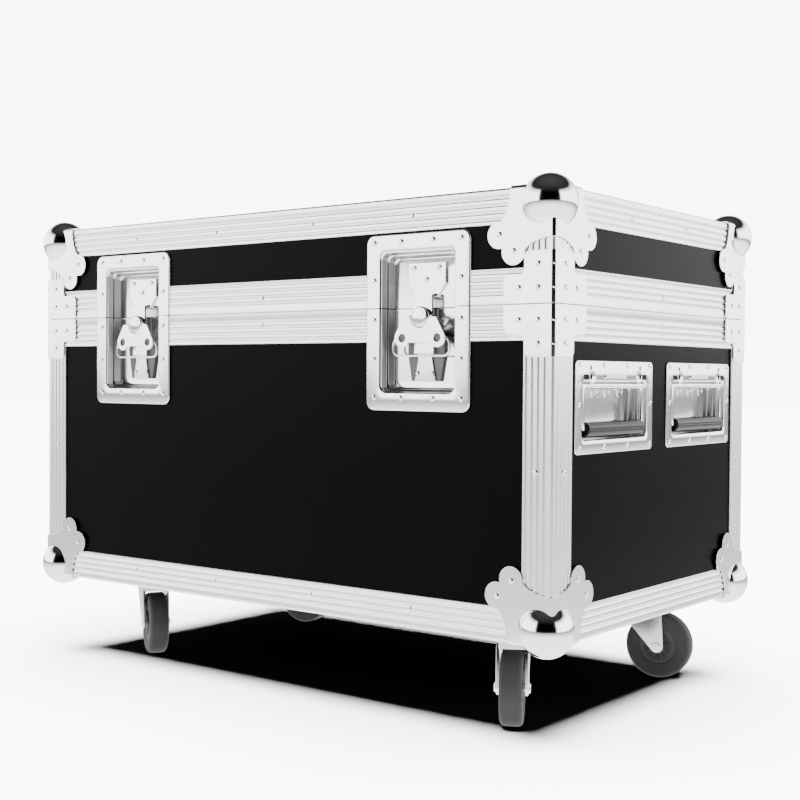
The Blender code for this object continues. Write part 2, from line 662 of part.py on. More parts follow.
def build_latch(hand, side):
    x = side * LATCH_X
    axis_z = SEAM - DISC_DROP
    upper = latch_dish(side, upper=True)
    as_part(upper, f"latch_{hand}_lid_dish", ZINC)
    lower = latch_dish(side, upper=False)
    housing_front = add_housing(lower, side, axis_z)
    as_part(lower, f"latch_{hand}_base_dish", ZINC)

    floor = FRONT_FACE + LATCH_POCKET
    keeper_low = SEAM + KEEPER_RISE
    hook_back = housing_front - GAP
    lip_front = hook_back + GAP
    keeper = flat_plate(keeper_outline(), KEEPER_THICK, (1, 0, 0), (0, 0, 1),
                        (x, floor - GAP - KEEPER_THICK / 2, keeper_low))
    tip = KEEPER_TIP / 2
    join(keeper, box((x - tip, lip_front, keeper_low), (x + tip, floor - GAP * 2, keeper_low + KEEPER_LIP)))
    as_part(keeper, f"latch_{hand}_keeper", ZINC)

    # The hook is a flat link in front of the housing, slotted so it can rise past the spindle's shaft.
    half = HOOK_WIDTH / 2
    slot = SHAFT_RADIUS + 2 * GAP
    hook_low = axis_z - slot - HOOK_TRAVEL - 2 * HOOK_THICK
    hook = box((x - half, hook_back - HOOK_THICK, hook_low),
               (x + half, hook_back, SEAM + HOOK_REACH))
    cut(hook, box((x - slot, hook_back - PLY, axis_z - slot - HOOK_TRAVEL),
                  (x + slot, hook_back + PLY, axis_z + slot)))
    set_origin(as_part(hook, f"latch_{hand}_hook", ZINC), (x, hook_back, axis_z))

    disc_back = hook_back - HOOK_THICK - GAP
    disc_front = disc_back - 2 * HOOK_THICK
    spindle = cylinder((x, disc_front, axis_z), (x, disc_back, axis_z), DISC_RADIUS)
    join(spindle, cylinder((x, disc_back - HOOK_THICK / 2, axis_z), (x, floor - SHEET - GAP, axis_z), SHAFT_RADIUS))
    pin = WING_THICK / 2
    pin_y = disc_front + HOOK_THICK
    pin_reach = WING_LOBE_X - WING_LOBE * PIN_END_SHARE
    join(spindle, cylinder((x - pin_reach, pin_y, axis_z), (x + pin_reach, pin_y, axis_z), pin, 12))
    as_part(spindle, f"latch_{hand}_spindle", ZINC, smooth=True)
    set_origin(spindle, (x, disc_front, axis_z))

    # The wing hangs from that cross pin by two curled ears beside the disc.
    holes = [arc((end * WING_LOBE_X, -WING_LOBE_DROP), WING_HOLE, 0, 330, 11) for end in (-1, 1)]
    wing_y = pin_y - WING_SET_SHARE * WING_THICK
    wing = flat_plate(wing_outline(), WING_THICK, (1, 0, 0), (0, 0, 1), (x, wing_y, axis_z), holes)
    ear_radius = HOOK_THICK - GAP / 2
    for end in (-1, 1):
        near = x + end * (DISC_RADIUS + GAP)
        far = x + end * (pin_reach - GAP)
        join(wing, cylinder((near, pin_y, axis_z), (far, pin_y, axis_z), ear_radius, 16))
    bore = (pin + GAP) / math.cos(math.pi / 12)
    cut(wing, cylinder((x - LEG, pin_y, axis_z), (x + LEG, pin_y, axis_z), bore, 12))
    as_part(wing, f"latch_{hand}_butterfly", ZINC)
    set_origin(wing, (x, pin_y, axis_z))
    wing.parent = spindle
    wing.matrix_parent_inverse = Matrix.Translation(spindle.location).inverted()


# ---- handles ------------------------------------------------------------------------------------------
def build_handle(name, end, row):
    y = row * HANDLE_SPREAD
    z = BOTTOM + HANDLE_CENTRE_Z
    half_y, half_z = HANDLE_WIDTH / 2, HANDLE_HEIGHT / 2
    face = end * HANDLE_FACE
    thick = DISH_SHEET
    dish = flat_plate(rounded((-half_y, -half_z), (half_y, half_z), HANDLE_CORNER), thick,
                      (0, end, 0), (0, 0, 1), (face - end * thick / 2, y, z))
    inner = half_y - HANDLE_SIDE
    low, high = z - half_z + HANDLE_SIDE, z + half_z - HANDLE_TOP
    floor = face - end * HANDLE_POCKET
    join(dish, box((face - end * thick / 2, y - inner - thick, low - thick),
                   (floor - end * thick, y + inner + thick, high + thick)))
    cut(dish, box((face + end * PLY, y - inner, low), (floor, y + inner, high)))

    # The bail's pivots go through the dish's two side walls.
    pivot = Vector((face - end * BAIL_DEPTH, y, high - BAIL_DROP))
    reach = inner + thick
    bore = (BAIL_WIRE + GAP) / math.cos(math.pi / CIRCLE)
    across = Vector((0, reach + GAP, 0))
    cut(dish, cylinder(pivot - across, pivot + across, bore))
    as_part(dish, f"{name}_dish", ZINC)

    grip_z = low + GRIP_RISE
    bend = BAIL_BEND
    left = [(-BAIL_HALF + bend - bend * math.cos(a), -bend * math.sin(a))
            for a in (math.radians(18 * step) for step in range(6))]
    loop = [(-BAIL_HALF, high - BAIL_DROP)] + [(u, grip_z + bend + v) for u, v in left]
    loop += [(-u, v) for u, v in reversed(loop)]
    bail = wire([(pivot.x, y + u, v) for u, v in loop], BAIL_WIRE)
    bar = Vector((0, reach - GAP, 0))
    join(bail, cylinder(pivot - bar, pivot + bar, BAIL_WIRE, 16))
    grip = Vector((0, BAIL_HALF - bend, 0))
    middle = Vector((pivot.x, y, grip_z))
    join(bail, cylinder(middle - grip, middle + grip, GRIP_RADIUS, CIRCLE))
    as_part(bail, f"{name}_bail", ZINC, smooth=True)
    set_origin(bail, pivot)


# ---- hinge --------------------------------------------------------------------------------------------
def hinge_leaf(upper):
    """One leaf of the continuous hinge with its share of the knuckles."""
    sign = 1 if upper else -1
    half = HINGE_LENGTH / 2
    face = HALF_Y + GAP
    leaf_low, leaf_high = sorted((SEAM + sign * 2 * GAP, SEAM + sign * HINGE_LEAF))
    leaf = box((-half, face, leaf_low), (half, face + HINGE_SHEET, leaf_high))
    pitch = HINGE_LENGTH / HINGE_KNUCKLES
    for knuckle in range(HINGE_KNUCKLES):
        if (knuckle % 2 == 0) == upper:
            continue
        start = -half + knuckle * pitch + GAP
        end = start + pitch - 2 * GAP
        join(leaf, cylinder((start, PIN_Y, SEAM), (end, PIN_Y, SEAM), KNUCKLE_RADIUS, 12))
        arm_low, arm_high = sorted((SEAM + sign * PIN_RADIUS, SEAM + sign * (KNUCKLE_RADIUS + HINGE_SHEET)))
        join(leaf, box((start, face + HINGE_SHEET / 2, arm_low), (end, PIN_Y, arm_high)))
    return leaf


def build_hinge():
    half = HINGE_LENGTH / 2
    base = hinge_leaf(upper=False)
    clearance = (PIN_RADIUS + GAP) / math.cos(math.pi / 16)
    pitch = HINGE_LENGTH / HINGE_KNUCKLES
    lid = hinge_leaf(upper=True)
    cut(lid, cylinder((-half - LEG, PIN_Y, SEAM), (half + LEG, PIN_Y, SEAM), clearance, 16))
    for knuckle in range(HINGE_KNUCKLES):
        start = -half + knuckle * pitch
        sweep = cylinder((start, PIN_Y, SEAM), (start + pitch, PIN_Y, SEAM), KNUCKLE_RADIUS + 2 * GAP, 12)
        cut(lid if knuckle % 2 == 0 else base, sweep)
    join(base, cylinder((-half, PIN_Y, SEAM), (half, PIN_Y, SEAM), PIN_RADIUS, 12))
    as_part(base, "hinge_leaf_base", ZINC)
    as_part(lid, "hinge_leaf_lid", ZINC)
    set_origin(lid, (0, PIN_Y, SEAM))


# ---- castors ------------------------------------------------------------------------------------------
def castor_plate(x, y):
    half_x, half_y = CASTOR_PLATE[0] / 2, CASTOR_PLATE[1] / 2
    plate = flat_plate(rounded((-half_x, -half_y), (half_x, half_y), PLATE_CORNER), PLATE_THICK,
                       (1, 0, 0), (0, 1, 0), (x, y, RACE_TOP + PLATE_THICK / 2))
    join(plate, cylinder((x, y, RACE_TOP + PLATE_THICK / 2), (x, y, RACE_TOP - RACE_HEIGHT), RACE_RADIUS))
    bore = (KINGPIN_RADIUS + GAP) / math.cos(math.pi / CIRCLE)
    return cut(plate, cylinder((x, y, RACE_TOP - RACE_HEIGHT - PLY), (x, y, RACE_TOP), bore))


def fork_leg_outline():
    """A fork leg seen from the side, measured from the swivel axis and from the axle's height."""
    top = CROWN_TOP - CROWN_THICK / 2 - AXIS_HEIGHT
    rear = CROWN_RADIUS * CROWN_REAR
    return [(-rear, top)] + arc((TRAIL, 0), AXLE_BOSS, -130, 20, 6) + [(TRAIL + AXLE_BOSS, top)]


def castor_frame(x, y, angle):
    """The direction the castor's wheel trails and its axle's direction."""
    heading = Vector((math.cos(math.radians(angle)), math.sin(math.radians(angle)), 0))
    return heading, Vector((-heading.y, heading.x, 0)), Vector((x, y, 0))


def build_fork(x, y, angle):
    heading, side, foot = castor_frame(x, y, angle)
    up = Vector((0, 0, 1))
    leg_in = WHEEL_WIDTH / 2 + FORK_CLEARANCE
    fork = cylinder(foot + up * (CROWN_TOP - CROWN_THICK), foot + up * CROWN_TOP, CROWN_RADIUS)
    middle = foot + up * (CROWN_TOP - CROWN_THICK / 2)
    rear, front = -CROWN_RADIUS * CROWN_REAR + GAP, TRAIL + AXLE_BOSS - GAP
    half = leg_in + FORK_SHEET - GAP
    deck = [(rear, -half), (front, -half), (front, half), (rear, half)]
    join(fork, flat_plate(deck, CROWN_THICK - GAP, heading, side, middle))
    for hand in (-1, 1):
        place = foot + side * hand * (leg_in + FORK_SHEET / 2) + up * AXIS_HEIGHT
        join(fork, flat_plate(fork_leg_outline(), FORK_SHEET, heading, up, place))
    join(fork, cylinder(middle, foot + up * (RACE_TOP - GAP), KINGPIN_RADIUS))
    axle = foot + heading * TRAIL + up * AXIS_HEIGHT
    reach = side * (leg_in + FORK_SHEET + AXLE_END)
    return join(fork, cylinder(axle - reach, axle + reach, AXLE_RADIUS))


def build_wheel(x, y, angle):
    heading, side, foot = castor_frame(x, y, angle)
    bore = (AXLE_RADIUS + GAP) / math.cos(math.pi / CIRCLE)
    half, shoulder = WHEEL_WIDTH / 2, WHEEL_SHOULDER
    core = (WHEEL_RADIUS - shoulder, half - shoulder)
    rim = [(core[0] + shoulder * math.sin(a), core[1] + shoulder * math.cos(a))
           for a in (math.radians(30 * step) for step in range(4))]
    profile = [(bore, half)] + rim + [(radius, -along) for radius, along in reversed(rim)] + [(bore, -half)]
    centre = foot + heading * TRAIL + Vector((0, 0, AXIS_HEIGHT))
    return turned(profile, centre, side, 24)


def brake_pivot(x, y, angle):
    heading, side, foot = castor_frame(x, y, angle)
    height = CROWN_TOP + BRAKE_HUB_RADIUS + GAP
    return foot + heading * (TRAIL + BRAKE_PIVOT) + Vector((0, 0, height)), heading, side


def build_brake(x, y, angle):
    """A foot pedal hinged on top of the fork, with a pad that comes down on the tread behind the crown."""
    pivot, heading, side = brake_pivot(x, y, angle)
    up = Vector((0, 0, 1))
    half = Vector(side) * BRAKE_WIDTH / 2
    pedal = cylinder(pivot - half, pivot + half, BRAKE_HUB_RADIUS, 16)
    rise, drop = BRAKE_SHEET / 2, -BRAKE_SHEET / 2
    outline = [(0, rise), (0, drop), (BRAKE_LENGTH, drop - BRAKE_SLOPE), (BRAKE_LENGTH, rise - BRAKE_SLOPE)]
    join(pedal, flat_plate(outline, BRAKE_WIDTH - GAP, heading, up, pivot))
    near, far = BRAKE_PAD
    tread = AXIS_HEIGHT + math.sqrt(WHEEL_RADIUS ** 2 - (BRAKE_PIVOT + near) ** 2)
    pad_low = tread + PAD_CLEARANCE - pivot.z
    pad = [(near, -BRAKE_SLOPE * near / BRAKE_LENGTH), (near, pad_low), (far, pad_low),
           (far, -BRAKE_SLOPE * far / BRAKE_LENGTH)]
    join(pedal, flat_plate(pad, BRAKE_WIDTH - 2 * GAP, heading, up, pivot))
    bore = (BRAKE_PIN_RADIUS + GAP) / math.cos(math.pi / 16)
    return cut(pedal, cylinder(pivot - 2 * half, pivot + 2 * half, bore, 16))


def fork_ears(x, y, angle):
    """The lugs and the pin on top of the fork's deck that carry the brake pedal."""
    pivot, heading, side = brake_pivot(x, y, angle)
    up = Vector((0, 0, 1))
    low = CROWN_TOP - CROWN_THICK / 2 - pivot.z
    radius = BRAKE_HUB_RADIUS
    outline = [(-radius, low), (radius, low)] + arc((0, 0), radius, 0, 180, 8)
    inner = BRAKE_WIDTH / 2 + GAP
    ears = [flat_plate(outline, FORK_SHEET, heading, up, pivot + side * hand * (inner + FORK_SHEET / 2))
            for hand in (-1, 1)]
    reach = side * (inner + FORK_SHEET / 2)
    return ears + [cylinder(pivot - reach, pivot + reach, BRAKE_PIN_RADIUS, 12)]


def build_castor(name, spot):
    end, row, angle, braked = spot
    x, y = end * (HALF_X - CASTOR_END), row * (HALF_Y - CASTOR_SIDE)
    as_part(castor_plate(x, y), f"castor_{name}_plate", ZINC)
    fork = as_part(build_fork(x, y, angle), f"castor_{name}_fork", ZINC)
    set_origin(fork, (x, y, CROWN_TOP))
    wheel = as_part(build_wheel(x, y, angle), f"castor_{name}_wheel", RUBBER, smooth=True)
    wheel.parent = fork
    wheel.matrix_parent_inverse = Matrix.Translation(fork.location).inverted()
    if braked:
        join(fork, *fork_ears(x, y, angle))
        pedal = as_part(build_brake(x, y, angle), f"castor_{name}_brake", ZINC)
        set_origin(pedal, brake_pivot(x, y, angle)[0])
        pedal.parent = fork
        pedal.matrix_parent_inverse = Matrix.Translation(fork.location).inverted()


# ---- the case -----------------------------------------------------------------------------------------
def build_case():
    build_panels()
    build_frames()
    build_corners()
    for hand, side in (("left", -1), ("right", 1)):
        build_latch(hand, side)
    for hand, end in (("left", -1), ("right", 1)):
        for row, side in (("front", -1), ("back", 1)):
            build_handle(f"handle_{hand}_{row}", end, side)
    build_hinge()
    for name, spot in CASTORS.items():
        build_castor(name, spot)


build_case()
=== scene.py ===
"""Looks of the hard equipment case: grooved aluminium edges, ball corners, pressed latch and handle dishes,
castors, and every finish. Metres, +Z up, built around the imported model."""
import math

import bmesh
import bpy
from mathutils import Matrix, Vector


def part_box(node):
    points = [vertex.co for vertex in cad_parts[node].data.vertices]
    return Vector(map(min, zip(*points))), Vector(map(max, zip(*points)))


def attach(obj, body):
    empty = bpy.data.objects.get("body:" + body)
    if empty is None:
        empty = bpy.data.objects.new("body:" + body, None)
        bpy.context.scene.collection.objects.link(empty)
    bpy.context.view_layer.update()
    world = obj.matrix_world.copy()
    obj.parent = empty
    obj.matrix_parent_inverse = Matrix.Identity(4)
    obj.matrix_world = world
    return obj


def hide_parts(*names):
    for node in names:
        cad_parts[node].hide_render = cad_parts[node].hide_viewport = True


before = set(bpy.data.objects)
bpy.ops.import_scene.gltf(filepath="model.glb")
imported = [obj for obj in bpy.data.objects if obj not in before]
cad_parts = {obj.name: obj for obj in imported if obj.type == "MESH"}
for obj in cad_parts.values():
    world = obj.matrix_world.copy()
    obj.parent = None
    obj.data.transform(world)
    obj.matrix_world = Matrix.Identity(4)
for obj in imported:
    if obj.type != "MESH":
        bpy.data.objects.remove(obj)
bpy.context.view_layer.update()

# ---- sizes read from the frame ------------------------------------------------------------------------
BASE_LOW, BASE_HIGH = (Vector(corner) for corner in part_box("base_edge_frame"))
HALF_X, HALF_Y = BASE_HIGH.x, BASE_HIGH.y
BOTTOM = BASE_LOW.z
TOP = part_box("lid_edge_frame")[1][2]
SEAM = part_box("lid_rim")[0][2] - 0.0003   # the lid's rim stands this far above the seam
LEG = SEAM - BASE_HIGH.z
LATCHES = {hand: sum(corner[0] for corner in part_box(f"latch_{hand}_keeper")) / 2 for hand in ("left", "right")}
FRONT_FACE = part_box("latch_left_base_dish")[0][1]

# ---- sizes of the visible detail ----------------------------------------------------------------------
SHEET = 0.0018
GROOVES = (0.28, 0.48, 0.675, 0.87)      # groove centres across an extrusion's leg
GROOVE_DEPTH = 0.0008
GROOVE_HALF = 0.0019
EDGE_ROUND = 0.0032
SHARP_ROUND = 0.0006                     # the small round of a band's or a leg's free edge
GAP = 0.0003                             # clearance between pieces that stand beside each other
RUN_TRIM = 0.036                         # extrusions stop this far from each corner, under its plates
PLATE = 0.0015
PLATE_LIFT = 0.0003
DISH_GAP = 0.0005                        # each half of a latch dish stops this far from the seam
KEEPER_FRONT = 0.0167                    # the keeper plate's face behind the case's front
FOLD = 0.0030                            # radius of a folded plate's edge
RIVET_RADIUS = 0.0030
RIVET_RISE = 0.0011
BRACE_ROWS = (0.015, 0.037)              # rivet rows from the seam
BRACE_RIVETS = ((0.017, 0.015), (0.038, 0.015), (0.017, 0.037))
LOBES = ((0.060, 0.044), (0.044, 0.060)) # centres of a corner plate's lobes, from the case's edges
BALL_RADIUS = 0.027
BALL_INSET = 0.0146


# ---- shader groups ------------------------------------------------------------------------------------
def add_socket(tree, name, kind, value=None, is_output=False):
    made = tree.interface.new_socket(name=name, in_out="OUTPUT" if is_output else "INPUT", socket_type=kind)
    if value is not None:
        made.default_value = value


def link(tree, source, target):
    tree.links.new(source, target)


def add_node(tree, kind, inputs=None, **settings):
    """A node with its settings and inputs; an input is a value or another node's output."""
    node = tree.nodes.new(kind)
    for name, value in settings.items():
        setattr(node, name, value)
    for name, value in (inputs or {}).items():
        if isinstance(value, bpy.types.NodeSocket):
            link(tree, value, node.inputs[name])
        else:
            node.inputs[name].default_value = value
    return node


def math_node(tree, operation, *values):
    return add_node(tree, "ShaderNodeMath", dict(enumerate(values)), operation=operation).outputs[0]


def group_ends(tree):
    """A shader group's input and output nodes, and the place on the piece that its patterns read."""
    place = add_node(tree, "ShaderNodeTexCoord").outputs["Object"]
    return add_node(tree, "NodeGroupInput").outputs, add_node(tree, "NodeGroupOutput").inputs, place


def make_grain_group():
    """Fine grain of a finish: a height for bump and a roughness, stretched along the metal's run."""
    tree = bpy.data.node_groups.new("finish_grain", "ShaderNodeTree")
    add_socket(tree, "Stretch", "NodeSocketVector", (1.0, 1.0, 1.0))
    add_socket(tree, "Scale", "NodeSocketFloat", 600.0)
    add_socket(tree, "Roughness", "NodeSocketFloat", 0.3)
    add_socket(tree, "Roughness Spread", "NodeSocketFloat", 0.08)
    add_socket(tree, "Height", "NodeSocketFloat", is_output=True)
    add_socket(tree, "Roughness", "NodeSocketFloat", is_output=True)
    enter, leave, place = group_ends(tree)
    stretch = add_node(tree, "ShaderNodeVectorMath", {0: place, 1: enter["Stretch"]}, operation="MULTIPLY")
    fine = add_node(tree, "ShaderNodeTexNoise", {"Detail": 3.0, "Vector": stretch.outputs[0],
                                                 "Scale": enter["Scale"]}).outputs["Fac"]
    broad = add_node(tree, "ShaderNodeTexNoise", {"Scale": 14.0, "Detail": 4.0, "Vector": place}).outputs["Fac"]
    centred = math_node(tree, "SUBTRACT", math_node(tree, "ADD", fine, broad), 1.0)
    swing = math_node(tree, "MULTIPLY", centred, enter["Roughness Spread"])
    link(tree, math_node(tree, "ADD", swing, enter["Roughness"]), leave["Roughness"])
    link(tree, fine, leave["Height"])
    return tree


def make_marks_group():
    """Handling marks: a mask of short fine scratches and faint smudges."""
    tree = bpy.data.node_groups.new("handling_marks", "ShaderNodeTree")
    add_socket(tree, "Scale", "NodeSocketFloat", 45.0)
    add_socket(tree, "Amount", "NodeSocketFloat", 0.5)
    add_socket(tree, "Mask", "NodeSocketFloat", is_output=True)
    enter, leave, place = group_ends(tree)
    bend = add_node(tree, "ShaderNodeTexNoise", {"Scale": 9.0, "Vector": place}).outputs["Color"]
    bent = add_node(tree, "ShaderNodeVectorMath", {0: place, 1: bend}, operation="ADD").outputs[0]
    cells = add_node(tree, "ShaderNodeTexVoronoi", {"Vector": bent, "Scale": enter["Scale"]},
                     feature="DISTANCE_TO_EDGE")
    thin = math_node(tree, "LESS_THAN", cells.outputs["Distance"], SCRATCH_WIDTH)
    patches = add_node(tree, "ShaderNodeTexNoise", {"Scale": 22.0, "Vector": place}).outputs["Fac"]
    mask = math_node(tree, "MULTIPLY", thin, math_node(tree, "GREATER_THAN", patches, SMUDGE_LEVEL))
    link(tree, math_node(tree, "MULTIPLY", mask, enter["Amount"]), leave["Mask"])
    return tree


SCRATCH_WIDTH = 0.006
SMUDGE_LEVEL = 0.60
GRAIN = make_grain_group()
MARKS = make_marks_group()


def finish(name, colour, rough, metallic=0.0, spread=0.06, stretch=(1, 1, 1), scale=600.0, bump=0.02,
           marks=0.0, mark_colour=(0.5, 0.5, 0.5), tint=0.0, specular=0.5):
    """A Principled material whose roughness, bump and fine marks vary over the surface."""
    made = bpy.data.materials.new(name)
    made.use_nodes = True
    tree = made.node_tree
    shader = tree.nodes["Principled BSDF"].inputs
    shader["Metallic"].default_value = metallic
    shader["Specular IOR Level"].default_value = specular
    grain = add_node(tree, "ShaderNodeGroup", node_tree=GRAIN)
    for label, value in (("Stretch", stretch), ("Scale", scale), ("Roughness", rough),
                         ("Roughness Spread", spread)):
        grain.inputs[label].default_value = value
    link(tree, grain.outputs["Roughness"], shader["Roughness"])
    height = grain.outputs["Height"]
    raised = add_node(tree, "ShaderNodeBump", {"Strength": bump, "Distance": GRAIN_RISE, "Height": height})
    link(tree, raised.outputs["Normal"], shader["Normal"])
    darker = [channel * (1 - tint) for channel in colour]
    mottled = add_node(tree, "ShaderNodeMix", {"A": (*colour, 1), "B": (*darker, 1), "Factor": height},
                       data_type="RGBA")
    wear = add_node(tree, "ShaderNodeGroup", {"Amount": marks}, node_tree=MARKS)
    marked = add_node(tree, "ShaderNodeMix", {"A": mottled.outputs["Result"], "B": (*mark_colour, 1),
                                              "Factor": wear.outputs["Mask"]}, data_type="RGBA")
    link(tree, marked.outputs["Result"], shader["Base Color"])
    return made


GRAIN_RISE = 0.0004                      # how far the grain stands up, for bump
LAMINATE = finish("black laminate", (0.0007, 0.0007, 0.0007), 0.32, spread=0.05, scale=1500.0, bump=0.10,
                  marks=0.02, mark_colour=(0.02, 0.02, 0.02), tint=0.3, specular=0.030)
LAMINATE_END = finish("black laminate, ends", (0.0007, 0.0007, 0.0007), 0.28, spread=0.05, scale=1500.0,
                      bump=0.08, marks=0.03, mark_colour=(0.02, 0.02, 0.02), tint=0.3, specular=0.028)
ALUMINIUM = finish("satin aluminium", (0.86, 0.86, 0.865), 0.27, 1.0, spread=0.06, stretch=(0.15, 0.15, 1.0),
                   scale=900.0, bump=0.03, marks=0.15, mark_colour=(0.7, 0.7, 0.7), tint=0.05)
ZINC = finish("bright zinc plate", (0.84, 0.84, 0.845), 0.12, 1.0, spread=0.08, scale=420.0, bump=0.03,
              marks=0.10, mark_colour=(0.65, 0.65, 0.66), tint=0.05)
DISH = finish("pressed zinc sheet", (0.83, 0.83, 0.835), 0.14, 1.0, spread=0.07, scale=300.0, bump=0.02,
              marks=0.15, mark_colour=(0.66, 0.66, 0.66), tint=0.05)
# painted shade: a darker zinc for the deep pocket walls, standing in for the shade inside the dishes
POCKET_SHADE_ZINC = finish("zinc with painted pocket shade", (0.42, 0.42, 0.425), 0.30, 1.0, spread=0.08, scale=300.0, bump=0.02,
                marks=0.15, mark_colour=(0.5, 0.5, 0.5), tint=0.05)
POLISHED = finish("polished steel", (0.86, 0.86, 0.87), 0.11, 1.0, spread=0.04, scale=900.0, bump=0.008,
                  marks=0.08, mark_colour=(0.7, 0.7, 0.7), tint=0.03)
RUBBER = finish("grey rubber", (0.017, 0.0178, 0.0163), 0.70, spread=0.10, scale=700.0, bump=0.12, marks=0.2,
                mark_colour=(0.2, 0.2, 0.19), tint=0.2, specular=0.35)
HUB = finish("dark plastic hub", (0.010, 0.0105, 0.010), 0.45, spread=0.08, scale=500.0, bump=0.05, tint=0.2)
GRIP = finish("black moulded grip", (0.002, 0.002, 0.002), 0.24, spread=0.08, scale=800.0, bump=0.06, tint=0.3,
              specular=0.15)
RIVET = finish("rivet steel", (0.84, 0.84, 0.845), 0.13, 1.0, spread=0.05, scale=900.0, bump=0.01, tint=0.05)
# partly painted shade: a dark grey for the tapered guides, partly their tone and partly the shade on the housing's
# sloped sides, and for the discs that paint the shade inside the wing's holes
GUIDE_AND_HOLE_SHADE = finish("dark grey guides and painted hole shade", (0.08, 0.08, 0.083), 0.42, 0.6, spread=0.10, stretch=(1, 1, 0.1),
               scale=900.0, bump=0.03, tint=0.3)
ZINC_DARK = finish("brake steel", (0.42, 0.42, 0.42), 0.35, 1.0, spread=0.10, scale=420.0, tint=0.2)
# painted shade: a near-black finish for small heads and thin plates that stand in for the shade inside holes and
# slots
HOLE_SHADE = finish("painted shade in holes", (0.006, 0.006, 0.006), 0.8, scale=200.0, tint=0.1, specular=0.1)


# ---- mesh helpers -------------------------------------------------------------------------------------
ON_SIDE = Matrix.Rotation(math.radians(90), 4, "X")      # turns a flat plate upright


def linked(name, data):
    """A new object in the scene."""
    item = bpy.data.objects.new(name, data)
    bpy.context.scene.collection.objects.link(item)
    return item


def place_piece(mesh, name, material, body, replaces=(), slot=None, smooth=35.0, bevel=0.0):
    """Make a finished mesh one of the case's pieces, riding on a body."""
    piece = linked(name, mesh)
    if material is not None:
        mesh.materials.clear()
        mesh.materials.append(material)
    mesh.shade_smooth()
    mesh.set_sharp_from_angle(angle=math.radians(smooth))
    if bevel:
        edge = piece.modifiers.new("edges", "BEVEL")
        edge.width = bevel
        edge.segments = 2
        edge.limit_method = "ANGLE"
        edge.angle_limit = math.radians(32)
        edge.harden_normals = True
    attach(piece, body)
    if replaces:
        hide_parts(*replaces)
    return piece


def to_mesh(shape, name):
    bmesh.ops.recalc_face_normals(shape, faces=shape.faces)
    mesh = bpy.data.meshes.new(name)
    shape.to_mesh(mesh)
    shape.free()
    return mesh


def place_shape(shape, name, *what, **how):
    """Turn a finished shape into one of the case's pieces, as place_piece does with a mesh."""
    return place_piece(to_mesh(shape, name), name, *what, **how)


def evaluated_mesh(maker):
    graph = bpy.context.evaluated_depsgraph_get()
    return bpy.data.meshes.new_from_object(maker.evaluated_get(graph))


def add_box(shape, low, high):
    low, high = Vector(low), Vector(high)
    made = bmesh.ops.create_cube(shape, size=1.0)["verts"]
    for vert in made:
        vert.co = Vector((low[i] + (vert.co[i] + 0.5) * (high[i] - low[i]) for i in range(3)))
    return made


def add_bar(shape, start, end, radius, segments=32):
    start, end = Vector(start), Vector(end)
    run = end - start
    turn = Vector((0, 0, 1)).rotation_difference(run.normalized()).to_matrix().to_4x4()
    where = Matrix.Translation((start + end) / 2) @ turn
    return bmesh.ops.create_cone(shape, cap_ends=True, segments=segments, radius1=radius,
                                 radius2=radius, depth=run.length, matrix=where)["verts"]


def arc(centre, radius, start, end, steps=8):
    return [(centre[0] + radius * math.cos(math.radians(start + (end - start) * step / steps)),
             centre[1] + radius * math.sin(math.radians(start + (end - start) * step / steps)))
            for step in range(steps + 1)]


def rounded(half_u, low, high, radius, steps=8):
    """A round-cornered rectangle about u = 0, from low to high."""
    points = []
    for turn, (u, v) in enumerate(((half_u, high), (-half_u, high), (-half_u, low), (half_u, low))):
        centre = (u - math.copysign(radius, u), v - (radius if v == high else -radius))
        points += arc(centre, radius, turn * 90, turn * 90 + 90, steps)
    return points


def add_plate(shape, outline, thickness, where, holes=()):
    """A flat plate: its outline's plane is where's XY plane, and it grows along where's +Z."""
    edges = []
    for loop in (outline, *holes):
        apart = [point for i, point in enumerate(loop) if math.dist(point, loop[i - 1]) > 1e-6]
        verts = [shape.verts.new((u, v, 0)) for u, v in apart]
        edges += [shape.edges.new((verts[i - 1], verts[i])) for i in range(len(verts))]
    bottom = bmesh.ops.triangle_fill(shape, use_beauty=True, use_dissolve=False, edges=edges)["geom"]
    faces = [item for item in bottom if isinstance(item, bmesh.types.BMFace)]
    grown = bmesh.ops.extrude_face_region(shape, geom=faces, use_keep_orig=True)["geom"]
    top = [item for item in grown if isinstance(item, bmesh.types.BMVert)]
    bmesh.ops.translate(shape, vec=(0, 0, thickness), verts=top)
    verts = list({vert for face in faces for vert in face.verts}) + top
    bmesh.ops.transform(shape, matrix=where, verts=verts)
    return verts


def facing(centre, across, up):
    """A matrix whose X, Y and Z are across, up and their outward normal."""
    across, up = Vector(across), Vector(up)
    out = across.cross(up)
    turn = Matrix((across, up, out)).transposed().to_4x4()
    return Matrix.Translation(Vector(centre)) @ turn


def moved(where, x, y, z):
    """The same place, moved along its own axes."""
    return where @ Matrix.Translation((x, y, z))


def behind(where, depth):
    """The same place, a depth below its surface."""
    return moved(where, 0, 0, -depth)


def loft(shape, rings):
    """Bridge closed loops of points that have the same count, and fill the first and the last."""
    loops = [[shape.verts.new(point) for point in ring] for ring in rings]
    count = len(loops[0])
    for here, there in zip(loops, loops[1:]):
        for i in range(count):
            j = (i + 1) % count
            shape.faces.new((here[i], here[j], there[j], there[i]))
    shape.faces.new(loops[-1])
    shape.faces.new(list(reversed(loops[0])))


# ---- geometry-node trees ------------------------------------------------------------------------------
def new_tree(name, inputs):
    tree = bpy.data.node_groups.new(name, "GeometryNodeTree")
    add_socket(tree, "Geometry", "NodeSocketGeometry")
    for label, kind, value in inputs:
        add_socket(tree, label, kind, value)
    add_socket(tree, "Geometry", "NodeSocketGeometry", is_output=True)
    return tree, tree.nodes.new("NodeGroupInput"), tree.nodes.new("NodeGroupOutput")


